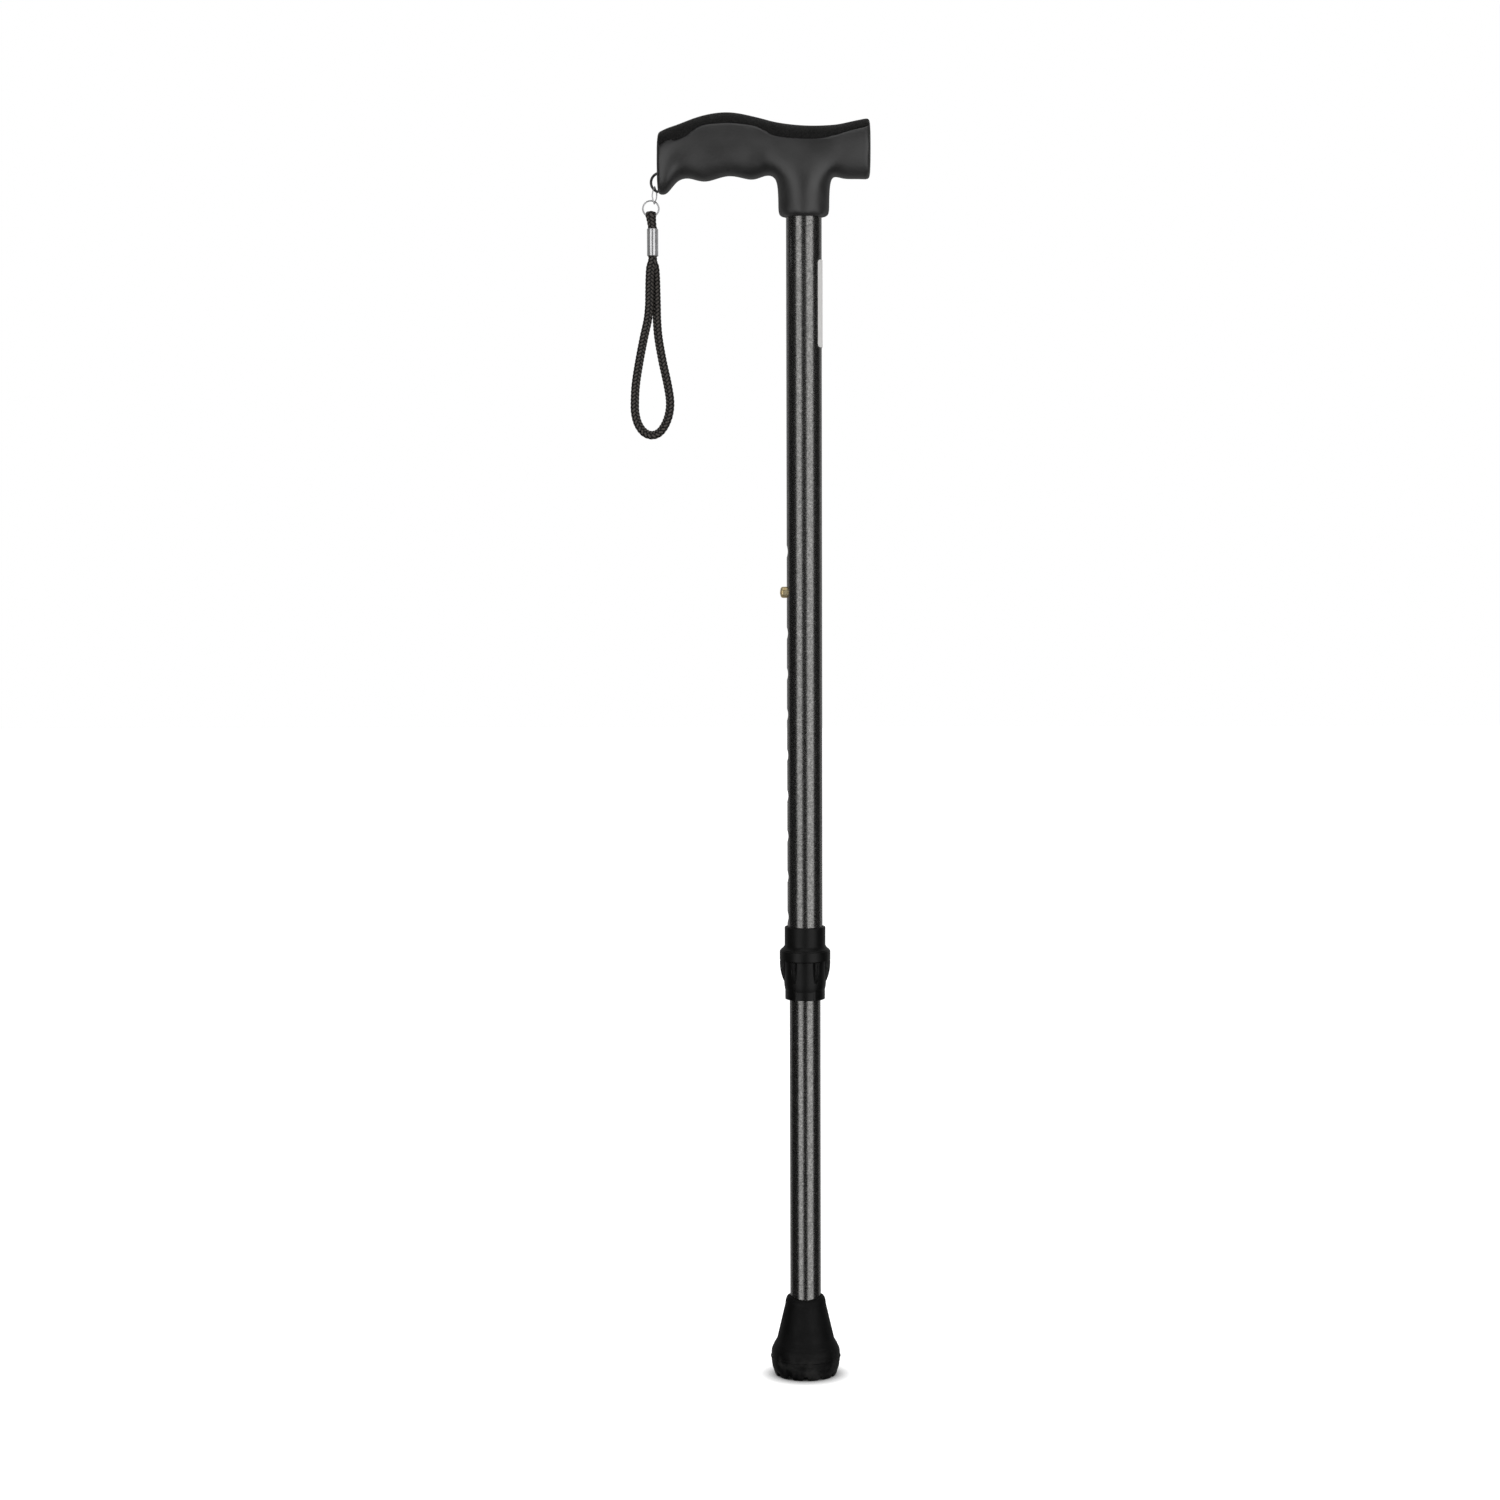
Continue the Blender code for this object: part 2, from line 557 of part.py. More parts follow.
def nut_ribs(name):
    bm = bmesh.new()
    root = NUT_CAVITY_RADIUS + NUT_WALL / 3
    levels = (0.0, 0.03, 0.35, 0.6, 0.8, 1.0)
    for number in range(NUT_RIBS):
        turn = Matrix.Rotation(2 * math.pi * number / NUT_RIBS, 3, "Z")
        rows = []
        for share in levels:
            height = rib_reach(share)
            top = NUT_TOP - share * RIB_LENGTH
            trim = 0.94 if share == 0.0 else 1.0
            width = RIB_WIDTH / 2 * (1.0 - 0.35 * share)
            rise = max(NUT_WALL / 4, NUT_CAVITY_RADIUS + height * trim - root)
            section = [
                (root, -width),
                (root + 0.70 * rise, -0.94 * width),
                (root + 0.93 * rise, -0.6 * width),
                (root + rise, 0.0),
                (root + 0.93 * rise, 0.6 * width),
                (root + 0.70 * rise, 0.94 * width),
                (root, width),
            ]
            rows.append([bm.verts.new(turn @ Vector((x, y, top))) for x, y in section])
        count = len(rows[0])
        for row, after in zip(rows, rows[1:]):
            for k in range(count):
                bm.faces.new((row[k], row[(k + 1) % count], after[(k + 1) % count], after[k]))
        bm.faces.new(rows[0])
        bm.faces.new(rows[-1][::-1])
    return finish(name, bm, None)


def lock_nut(stuff):
    """Tapered nut round the spigot and the collet, with grip ribs that run out on its cone."""
    bottom = NUT_TOP - NUT_HEIGHT
    seat = COLLET_BOTTOM - FIT_GAP
    waist = NUT_TOP - RIB_LENGTH
    slope = NUT_WALL / 4
    outer = [(NUT_SKIRT_RADIUS - slope, NUT_TOP), (NUT_SKIRT_RADIUS, NUT_TOP - slope)]
    outer += bezier((NUT_SKIRT_RADIUS - slope, waist + slope), (NUT_SKIRT_RADIUS - 2 * slope, seat + NUT_END_WALL),
                    (NUT_END_RADIUS + slope, seat - NUT_END_WALL), 4)
    outer += bezier((NUT_END_RADIUS, bottom + NUT_END_WALL), (NUT_END_RADIUS, bottom),
                    (NUT_END_RADIUS - NUT_END_WALL * 0.7, bottom), 2)
    inner = [
        (RUNNING_BORE_RADIUS, bottom),
        (RUNNING_BORE_RADIUS, seat),
        (RUNNING_BORE_RADIUS + COLLET_EDGE + FIT_GAP, seat),
        (NUT_CAVITY_RADIUS, COLLET_TOP),
        (NUT_CAVITY_RADIUS, NUT_TOP),
    ]
    made = turned("lock_nut", outer + inner, stuff)
    boolean(made, nut_ribs("lock_nut_ribs"), "UNION")
    return made


# The handle's surface is a subdivided cage. A cage point pulls the surface to these
# shares of its own radius: on a ring of eight grip points, and on the neck's octagon.
GRIP_LIMIT = (4 + 2 * GRIP_SQUARENESS) / 6
OCTAGON_LIMIT = (4 + 2 * math.cos(math.pi / 4)) / 6
NECK_CAGE = NECK_RADIUS / OCTAGON_LIMIT


def grip_stations():
    """Rows of (x, crest, underside, half width) from the nose to the heel."""
    rows = [(-NOSE_REACH * share, GRIP_BASE + crest, GRIP_BASE + under, half)
            for share, crest, under, half in NOSE_STATIONS]
    for x, crest in zip((-NECK_CAGE, 0.0, NECK_CAGE), NECK_CREST):
        rows.append((x, GRIP_BASE + crest, GRIP_BASE + NECK_FILLET / 7, NECK_RADIUS))
    rows += [(HEEL_REACH * share, GRIP_BASE + crest, GRIP_BASE + under, half)
             for share, crest, under, half in HEEL_STATIONS]
    return np.array(rows)


def cage_through(values):
    """Cage values whose cubic B-spline passes through the given ones; the ends are kept."""
    count = len(values)
    weights = np.eye(count)
    for k in range(1, count - 1):
        weights[k, k - 1:k + 2] = (1 / 6, 4 / 6, 1 / 6)
    return np.linalg.solve(weights, values)


def handle_cage():
    """Rings of eight points along the grip, with the neck drawn down out of its underside."""
    stations = grip_stations()
    crest, under, half = (cage_through(stations[:, k]) for k in (1, 2, 3))
    diagonal = GRIP_SQUARENESS
    ring_shape = ((0, 1), (diagonal, diagonal), (1, 0), (diagonal, -diagonal),
                  (0, -1), (-diagonal, -diagonal), (-1, 0), (-diagonal, diagonal))
    bm = bmesh.new()
    rings = []

    for x, top, bottom, width in zip(stations[:, 0], crest, under, half):
        middle = (top + bottom) / 2
        rise = (top - bottom) / 2 / GRIP_LIMIT
        reach = width / GRIP_LIMIT
        rings.append([bm.verts.new((x, y * reach, middle + z * rise)) for y, z in ring_shape])
    neck = len(NOSE_STATIONS)
    for ring in rings[neck:neck + 3]:
        for corner in (3, 5):
            side = 1 if corner == 3 else -1
            ring[corner].co.y = side * NECK_CAGE * (1.0 if ring is rings[neck + 1] else 0.8)
    opening = [(rings[neck][4], 180), (rings[neck][3], 135), (rings[neck + 1][3], 90),
               (rings[neck + 2][3], 45), (rings[neck + 2][4], 0), (rings[neck + 2][5], -45),
               (rings[neck + 1][5], -90), (rings[neck][5], -135)]
    for number, (ring, after) in enumerate(zip(rings, rings[1:])):
        for k in range(8):
            if number in (neck, neck + 1) and k in (3, 4):
                continue
            bm.faces.new((ring[k], ring[(k + 1) % 8], after[(k + 1) % 8], after[k]))
    bm.verts.remove(rings[neck + 1][4])

    last = [vertex for vertex, _ in opening]
    for height in (GRIP_BASE - NECK_FILLET, NECK_BOTTOM):
        after = []
        for _, angle in opening:
            a = math.radians(angle)
            after.append(bm.verts.new((NECK_CAGE * math.cos(a), NECK_CAGE * math.sin(a), height)))
        for k in range(8):
            bm.faces.new((last[k], last[(k + 1) % 8], after[(k + 1) % 8], after[k]))
        last = after
    crease = bm.edges.layers.float.new("crease_edge")
    for rim in (last, rings[0], rings[-1]):
        for edge in bm.faces.new(rim).edges:
            edge[crease] = RIM_CREASE
    return bm


def moulded_handle(name, stuff):
    made = finish(name, handle_cage(), stuff, smooth=False)
    made.data.shade_smooth()
    rounding = made.modifiers.new("Rounding", "SUBSURF")
    rounding.levels = SUBDIVISIONS
    rounding.render_levels = SUBDIVISIONS
    return made


def crest_line():
    """The grip's crest and half width as a smooth fine line along X."""
    stations = grip_stations()
    line, _ = smooth_route(stations[:, (0, 1, 3)], NECK_RADIUS / 20)
    return line


def pad_volume(name, lowered):
    """The space of the grip pad: over a sheet that is domed under the crest."""
    line = crest_line()
    columns = np.linspace(-NOSE_REACH * 1.05, HEEL_REACH * 1.1, 19)
    rows = np.linspace(-1.5, 1.5, 11)
    crest = np.interp(columns, line[:, 0], line[:, 1])
    half = np.interp(columns, line[:, 0], line[:, 2])
    depth = np.interp(columns, (-NOSE_REACH, HEEL_REACH), (PAD_DEPTH_NOSE, PAD_DEPTH_HEEL))
    edge = np.clip(np.abs(rows) / 0.95, 0.0, 1.0)
    dome = (1.0 - edge ** 2.4) ** 0.7
    low = crest[:, None] - depth[:, None] + (depth[:, None] - PAD_THICKNESS) * dome[None, :] - lowered
    roof = crest.max() + 2 * depth.max()
    bm = bmesh.new()
    floor = [[bm.verts.new((x, y * h, z)) for y, z in zip(rows, zs)]
             for x, h, zs in zip(columns, half, low)]
    top = [[bm.verts.new((x, y * h, roof)) for y in (rows[0], rows[-1])] for x, h in zip(columns, half)]
    for near, far in zip(floor, floor[1:]):
        for k in range(len(rows) - 1):
            bm.faces.new((near[k], near[k + 1], far[k + 1], far[k]))
    for (near, far), (near_top, far_top) in zip(zip(floor, floor[1:]), zip(top, top[1:])):
        bm.faces.new((near[0], near_top[0], far_top[0], far[0]))
        bm.faces.new((near[-1], far[-1], far_top[1], near_top[1]))
        bm.faces.new((near_top[0], near_top[1], far_top[1], far_top[0]))
    for end in (0, -1):
        bm.faces.new(floor[end] + [top[end][1], top[end][0]])
    return finish(name, bm, None, smooth=False)


def strap_lug(name):
    """Half ring of rounded flat section whose ends are sunk in the nose."""
    middle = LUG_RADIUS - LUG_THICKNESS / 2
    half = LUG_THICKNESS / 2
    wide = LUG_WIDTH / 2
    trim = LUG_THICKNESS / 4
    section = ((-half, -wide + trim), (-half, wide - trim), (-half + trim, wide), (half - trim, wide),
               (half, wide - trim), (half, -wide + trim), (half - trim, -wide), (-half + trim, -wide))
    bm = bmesh.new()
    rows = []
    for angle in np.linspace(LUG_START, LUG_END, 15):
        row = []
        for radial, y in section:
            point = away(LUG_CENTRE, middle + radial, angle)
            point.y = y
            row.append(bm.verts.new(point))
        rows.append(row)
    for row, after in zip(rows, rows[1:]):
        for k in range(8):
            bm.faces.new((row[k], row[(k + 1) % 8], after[(k + 1) % 8], after[k]))
    bm.faces.new(rows[0])
    bm.faces.new(rows[-1][::-1])
    return finish(name, bm, None)


def handle(stuff):
    """Moulded T handle: finger scallops, neck socket, strap lug and the pad's recess."""
    made = moulded_handle("handle", stuff)
    boolean(made, strap_lug("handle_lug"), "UNION")
    boolean(made, pad_volume("handle_pad_recess", FIT_GAP))
    socket = rod("handle_socket", UPPER_TUBE_RADIUS + FIT_GAP, (0, 0, NECK_BOTTOM - NECK_WALL),
                 (0, 0, SOCKET_TOP), sides=ROUND_SIDES)
    boolean(made, socket)
    profile = [(0.0, SOCKET_TOP - NECK_WALL), (SCREW_RADIUS + FIT_GAP, SOCKET_TOP - NECK_WALL),
               (SCREW_RADIUS + FIT_GAP, SCREW_SEAT - FIT_GAP),
               (SCREW_HEAD_RADIUS + FIT_GAP, SCREW_SEAT - FIT_GAP),
               (SCREW_HEAD_RADIUS + FIT_GAP, SCREW_SEAT + NECK_WALL * 2), (0.0, SCREW_SEAT + NECK_WALL * 2)]
    boolean(made, turned("handle_screw_hole", profile, None, sides=SMALL_SIDES, closed=False))
    return made


def grip_pad(stuff):
    """Soft inlay: the part of the handle's form over the domed sheet."""
    made = moulded_handle("grip_pad", stuff)
    boolean(made, pad_volume("grip_pad_space", 0.0), "INTERSECT")
    return made


def tube_plug(stuff):
    """Plug in the top of the upper tube, with a flange over its end and the screw's hole."""
    spigot = UPPER_BORE_RADIUS - FIT_GAP
    hole = SCREW_RADIUS + FIT_GAP
    flange_bottom = PLUG_TOP - PLUG_FLANGE
    bottom = flange_bottom - PLUG_LENGTH
    profile = [(hole, bottom), (spigot - PLUG_FLANGE / 2, bottom), (spigot, bottom + PLUG_FLANGE / 2),
               (spigot, flange_bottom), (UPPER_TUBE_RADIUS, flange_bottom),
               (UPPER_TUBE_RADIUS, PLUG_TOP), (hole, PLUG_TOP)]
    return turned("tube_plug", profile, stuff, sides=INNER_SIDES)


def handle_screw(stuff):
    """Pan head screw under the pad, down into the plug."""
    top = SCREW_SEAT + SCREW_HEAD_HEIGHT
    tip = SCREW_SEAT - SCREW_LENGTH
    profile = [(0.0, tip), (SCREW_RADIUS / 2, tip + SCREW_RADIUS / 2), (SCREW_RADIUS, tip + SCREW_RADIUS),
               (SCREW_RADIUS, SCREW_SEAT), (SCREW_HEAD_RADIUS, SCREW_SEAT),
               (SCREW_HEAD_RADIUS, SCREW_SEAT + SCREW_HEAD_HEIGHT / 2)]
    profile += [(SCREW_HEAD_RADIUS * math.cos(a),
                 SCREW_SEAT + SCREW_HEAD_HEIGHT / 2 * (1 + math.sin(a)))
                for a in np.linspace(math.pi / 8, math.radians(75), 3)]
    profile += [(0.0, top)]
    made = turned("handle_screw", profile, stuff, sides=SMALL_SIDES, closed=False)
    size = Matrix.Diagonal((SCREW_HEAD_RADIUS * 1.1, SCREW_RADIUS / 2, SCREW_HEAD_HEIGHT, 1.0))
    for angle in (0, 90):
        place = Matrix.Translation((0, 0, top)) @ Matrix.Rotation(math.radians(angle), 4, "Z")
        cross = bmesh.new()
        bmesh.ops.create_cube(cross, size=1.0, matrix=place @ size)
        boolean(made, finish(f"handle_screw_slot_{angle}", cross, None))
    return made


def size_label(stuff):
    """Blank sticker wrapped on the heel side of the upper tube."""
    top = NECK_BOTTOM - LABEL_BELOW_NECK
    inner = UPPER_TUBE_RADIUS + LABEL_GAP
    outer = inner + LABEL_THICKNESS
    half = LABEL_ANGLE / 2 * inner
    bm = bmesh.new()
    rows = []
    corner = [half - LABEL_CORNER * (1 - math.cos(a)) for a in np.linspace(0, math.pi / 2, 4)]
    spans = sorted(set([-s for s in corner] + list(np.linspace(-half + LABEL_CORNER, half - LABEL_CORNER, 9))
                       + corner))
    for run in spans:
        past = max(0.0, abs(run) - half + LABEL_CORNER)
        drop = LABEL_CORNER - math.sqrt(max(0.0, LABEL_CORNER ** 2 - past ** 2))
        angle = run / inner
        low = top - LABEL_HEIGHT + drop
        high = top - drop
        rows.append([bm.verts.new((reach * math.cos(angle), reach * math.sin(angle), z))
                     for reach, z in ((inner, low), (outer, low), (outer, high), (inner, high))])
    for row, after in zip(rows, rows[1:]):
        for k in range(4):
            bm.faces.new((row[k], row[(k + 1) % 4], after[(k + 1) % 4], after[k]))
    bm.faces.new(rows[0])
    bm.faces.new(rows[-1][::-1])
    return finish("size_label", bm, stuff)


def strap_link(stuff):
    """Pear shaped wire loop, twisted a little, from the lug down to the ring."""
    middle = (LINK_TOP + LINK_BOTTOM) / 2
    along = (LINK_TOP - LINK_BOTTOM) / 2
    points = []
    for turn in np.linspace(0.0, 2 * math.pi, 20, endpoint=False):
        up = math.cos(turn)
        out = math.copysign(abs(math.sin(turn)) ** 0.8, math.sin(turn)) * LINK_HALF_WIDTH
        twist = LINK_TWIST * (1.0 - up * up)
        points.append(middle + along * up + Vector((math.sin(twist), math.cos(twist), 0.0)) * out)
    return tube_curve("strap_link", np.array(points), LINK_WIRE_RADIUS, stuff, closed=True)


def strap_ring(stuff):
    turns = np.linspace(0.0, 2 * math.pi, 24, endpoint=False)
    middle = RING_RADIUS - RING_WIRE_RADIUS
    points = np.array(RING_CENTRE) + middle * np.column_stack([np.cos(turns), 0 * turns, np.sin(turns)])
    return tube_curve("strap_ring", points, RING_WIRE_RADIUS, stuff, closed=True)


def strap_eye_cord(stuff):
    """Fold of cord over the ring, flattened there, with both ends in the crimp sleeve."""
    bend = RING_WIRE_RADIUS + FIT_GAP + FOLD_HALF_THICKNESS * 1.2
    bm = bmesh.new()
    rows = []

    def add_row(centre, across, half_thickness, half_width):
        row = []
        for k in range(CORD_SIDES):
            a = 2 * math.pi * k / CORD_SIDES
            row.append(bm.verts.new(centre + across * math.cos(a) * half_thickness
                                    + Vector((1, 0, 0)) * math.sin(a) * half_width))
        rows.append(row)

    legs = ((1.0, 0.0), (0.8, 0.0), (0.55, 0.1), (0.3, 0.35), (0.1, 0.75))

    def leg_row(side, share, flat):
        offset = STRAND_OFFSET + (bend - STRAND_OFFSET) * flat
        x = STRAP_X + (RING_CENTRE.x - STRAP_X) * (1 - share)
        thickness = CORD_RADIUS + (FOLD_HALF_THICKNESS - CORD_RADIUS) * flat
        width = CORD_RADIUS + (FOLD_HALF_WIDTH - CORD_RADIUS) * flat
        add_row(Vector((x, side * offset, RING_WIRE.z - FOLD_LENGTH * share)), Vector((0, side, 0)), thickness, width)

    add_row(Vector((STRAP_X, -STRAND_OFFSET, STRAND_JOIN + STRAND_GAP / 2)), Vector((0, -1, 0)),
            CORD_RADIUS, CORD_RADIUS)
    for share, flat in legs:
        leg_row(-1, share, flat)
    for a in np.linspace(math.pi, 0.0, 9):
        outward = Vector((0.0, math.cos(a), math.sin(a)))
        add_row(RING_WIRE + outward * bend, outward, FOLD_HALF_THICKNESS, FOLD_HALF_WIDTH)
    for share, flat in reversed(legs):
        leg_row(1, share, flat)
    add_row(Vector((STRAP_X, STRAND_OFFSET, STRAND_JOIN + STRAND_GAP / 2)), Vector((0, 1, 0)),
            CORD_RADIUS, CORD_RADIUS)
    for row, after in zip(rows, rows[1:]):
        for k in range(CORD_SIDES):
            bm.faces.new((row[k], row[(k + 1) % CORD_SIDES], after[(k + 1) % CORD_SIDES], after[k]))
    bm.faces.new(rows[0])
    bm.faces.new(rows[-1][::-1])
    return finish("strap_eye_cord", bm, stuff)


def crimp_sleeve(stuff):
    """Oval sleeve round the two strands."""
    bm = bmesh.new()
    sides = 24
    inner = CORD_RADIUS + CRIMP_GAP
    rows = []
    for wall, height in ((0.0, CRIMP_BOTTOM), (CRIMP_WALL, CRIMP_BOTTOM), (CRIMP_WALL, CRIMP_TOP),
                         (0.0, CRIMP_TOP)):
        row = []
        for k in range(sides):
            a = 2 * math.pi * (k + 0.5) / sides
            side = STRAND_OFFSET if math.sin(a) > 0 else -STRAND_OFFSET
            reach = inner / math.cos(math.pi / sides) + wall
            row.append(bm.verts.new((STRAP_X + reach * math.cos(a), side + reach * math.sin(a), height)))
        rows.append(row)
    for row, after in zip(rows, rows[1:] + rows[:1]):
        for k in range(sides):
            bm.faces.new((row[k], row[(k + 1) % sides], after[(k + 1) % sides], after[k]))
    return finish("crimp_sleeve", bm, stuff)


# Route of the wrist loop below the sleeve, from the front strand round to the back one:
# (x, y, z) from the middle of the sleeve's lower end, chosen by hand
STRAP_ROUTE = (
    (-0.0013, -0.0025, -0.0073),
    (-0.0018, -0.0022, -0.0143),
    (-0.0020, -0.0020, -0.0223),
    (-0.0022, -0.0018, -0.0303),
    (-0.0032, -0.0013, -0.0393),
    (-0.0057, -0.0008, -0.0503),
    (-0.0085, -0.0004, -0.0643),
    (-0.0108, 0.0, -0.0783),
    (-0.0115, 0.0, -0.0889),
    (-0.0113, 0.0, -0.0968),
    (-0.0094, 0.0, -0.1036),
    (-0.0057, 0.0, -0.1085),
    (-0.0010, 0.0, -0.1102),
    (0.0036, 0.0, -0.1085),
    (0.0073, 0.0, -0.1036),
    (0.0097, 0.0, -0.0968),
    (0.0103, 0.0, -0.0889),
    (0.0087, 0.0, -0.0783),
    (0.0057, 0.0004, -0.0643),
    (0.0033, 0.0008, -0.0503),
    (0.0024, 0.0013, -0.0393),
    (0.0022, 0.0018, -0.0303),
    (0.0020, 0.0020, -0.0223),
    (0.0018, 0.0022, -0.0143),
    (0.0013, 0.0025, -0.0073),
)


def strap_loop_cord(stuff):
    in_sleeve = (STRAND_JOIN - STRAND_GAP / 2 - CRIMP_BOTTOM, CRIMP_LENGTH / 4, -CORD_RADIUS)
    front = [(0.0, -STRAND_OFFSET, z) for z in in_sleeve]
    back = [(0.0, STRAND_OFFSET, z) for z in reversed(in_sleeve)]
    route = np.array(front + list(STRAP_ROUTE) + back) + (STRAP_X, 0.0, CRIMP_BOTTOM)
    points, length = smooth_route(route, CORD_STEP)
    print(f"wrist loop: {length * 1000:.1f} mm of cord in {len(points)} points")
    return tube_curve("strap_loop_cord", points, CORD_RADIUS, stuff)


def build():
    clear_scene()
    plastic = material("black_plastic", BLACK_PLASTIC, 0.38)
    coated = material("graphite_coating", GRAPHITE, 0.34, 0.6)
    steel = material("bright_steel", STEEL, 0.25, 1.0)
    nylon = material("nylon", NYLON, 0.5)
    cord = material("black_cord", CORD_BLACK, 0.85)
    handle(plastic)
    grip_pad(material("grained_pad", GRAINED_PAD, 0.8))
    handle_screw(steel)
    tube_plug(nylon)
    upper_tube(coated)
    size_label(material("white_paper", PAPER, 0.6))
    collar_sleeve(plastic)
    collet(nylon)
    lock_nut(plastic)
    lower_tube(coated)
    tube_bush(nylon)
    snap_button(material("brass", BRASS, 0.3, 1.0))
    snap_spring(steel)
    rubber_foot(material("rubber", RUBBER, 0.75))
    foot_washer(steel)
    strap_link(steel)
    strap_ring(steel)
    strap_eye_cord(cord)
    crimp_sleeve(steel)
    strap_loop_cord(cord)


build()
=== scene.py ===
# %% [markdown]
# # An adjustable walking cane

# The finished picture may not grow past the real cane.

# %% Open the frame
import math
import bmesh
import bpy
import numpy as np
from math import pi
from numpy import cos, sin
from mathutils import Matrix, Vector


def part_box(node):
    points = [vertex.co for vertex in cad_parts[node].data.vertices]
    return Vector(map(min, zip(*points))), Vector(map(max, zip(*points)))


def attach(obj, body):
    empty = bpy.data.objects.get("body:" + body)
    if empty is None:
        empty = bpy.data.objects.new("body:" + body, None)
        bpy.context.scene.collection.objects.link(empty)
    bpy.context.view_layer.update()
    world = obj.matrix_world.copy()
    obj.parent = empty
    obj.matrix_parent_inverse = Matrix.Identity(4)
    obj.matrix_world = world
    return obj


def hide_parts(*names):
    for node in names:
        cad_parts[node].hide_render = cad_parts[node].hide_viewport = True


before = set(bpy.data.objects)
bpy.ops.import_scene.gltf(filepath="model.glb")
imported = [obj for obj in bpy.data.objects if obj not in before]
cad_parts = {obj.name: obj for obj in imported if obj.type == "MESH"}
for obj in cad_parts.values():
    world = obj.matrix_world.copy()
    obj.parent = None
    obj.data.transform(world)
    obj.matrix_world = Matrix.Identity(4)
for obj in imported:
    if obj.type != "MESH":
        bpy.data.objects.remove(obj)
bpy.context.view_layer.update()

from types import SimpleNamespace as Sizes

# %% [markdown]
# ## The camera
#
# The photograph looks at the cane from two metres, a little down, with a lens about as long as a
# portrait lens. A camera further off would flatten the foot's ellipse, and a nearer one would spread it.
# The cane stands just right of the picture's middle, so the camera is turned a degree to the left.

# %% Place the camera
def placed(name, data):
    """A new object in the scene's own collection."""
    made = bpy.data.objects.new(name, data)
    bpy.context.scene.collection.objects.link(made)
    return made


LENS = 77.3
CAMERA_PLACE = (0.0, -2.006, 0.547)
CAMERA_TURN = (math.radians(85.7), math.radians(0.17), math.radians(0.963))
camera = placed("camera", bpy.data.cameras.new("camera"))
camera.data.lens = LENS
camera.data.sensor_width = 36.0
camera.location = CAMERA_PLACE
camera.rotation_euler = CAMERA_TURN
bpy.context.scene.camera = camera
bpy.context.scene.view_settings.view_transform = "Standard"
print("camera distance from the tube:", round(math.hypot(*CAMERA_PLACE[:2]), 3), "m")

# %% [markdown]
# ## One function for every surface
#
# Each new piece is a grid of points that numpy works out in one go: rows run along the piece, columns
# run round it. Sculpting or editing by hand would also work, but a formula can be changed and rerun.
# The grid becomes four-sided faces, and the sign of its volume tells whether they face outwards.

# %% Surfaces from grids
SHARP = math.radians(38)
COLUMNS = Sizes(wire=20, lug=28, drill=40, cord=60, button=72, socket=96, crimp=96, tube=128, sleeve=144,
                label=161, foot=288, nut=360)


def surface(name, grid, ring=False, uv=None, smooth=True, **values):
    """A closed mesh over a grid of points (rows, columns, 3).

    Columns always meet round the piece. Rows meet too where ring is true, as in a washer or a
    link, and otherwise the first and last rows are closed with one flat face each. The volume is
    a sixth of the sum of a . (b x c) over the triangles, and where it is negative the faces turn.
    """
    rows, columns = grid.shape[:2]
    index = np.arange(rows * columns).reshape(rows, columns)
    wide = np.hstack([index, index[:, :1]])
    if ring:
        wide = np.vstack([wide, wide[:1]])
    quads = np.stack([wide[:-1, :-1], wide[:-1, 1:], wide[1:, 1:], wide[1:, :-1]], axis=-1).reshape(-1, 4)
    flat = grid.reshape(-1, 3)
    centred = flat - flat.mean(axis=0)
    a, b, c, d = (centred[quads[:, k]] for k in range(4))
    volume = (np.cross(b, c) * a).sum() + (np.cross(c, d) * a).sum()
    if volume < 0:
        quads = quads[:, ::-1]
    faces = quads.tolist()
    if not ring:
        ends = [index[0].tolist(), index[-1].tolist()[::-1]]
        faces += ends if volume < 0 else [end[::-1] for end in ends]
    mesh = bpy.data.meshes.new(name)
    mesh.from_pydata(flat.tolist(), [], faces)
    if uv is not None:
        r, k = np.meshgrid(np.arange(quads.shape[0] // columns), np.arange(columns), indexing="ij")
        corners = np.stack([uv[r, k], uv[r, k + 1], uv[r + 1, k + 1], uv[r + 1, k]], axis=2).reshape(-1, 4, 2)
        if volume < 0:
            corners = corners[:, ::-1]
        layer = mesh.uv_layers.new(name="surface")
        every = np.zeros((len(mesh.loops), 2))
        every[:corners.shape[0] * 4] = corners.reshape(-1, 2)
        layer.uv.foreach_set("vector", every.ravel())
    for key, value in values.items():
        kept = mesh.attributes.new(key, "FLOAT", "POINT")
        kept.data.foreach_set("value", np.ascontiguousarray(value, dtype=np.float32).ravel())
    if smooth:
        mesh.shade_smooth()
        mesh.set_sharp_from_angle(angle=SHARP)
    return placed(name, mesh)


def dress(made, body, replaced, slot, *finishes):
    """Hangs a piece on its body in place of one of the frame's, with the finish if it is there yet."""
    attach(made, body)
    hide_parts(replaced)
    for finish in finishes:
        made.data.materials.append(finish)


print("one function for every surface")

# %% [markdown]
# A surface starts from lines: smooth ones through key points, set out in even steps, parabolas for
# rounded corners, and evenly spaced angles for a circle.

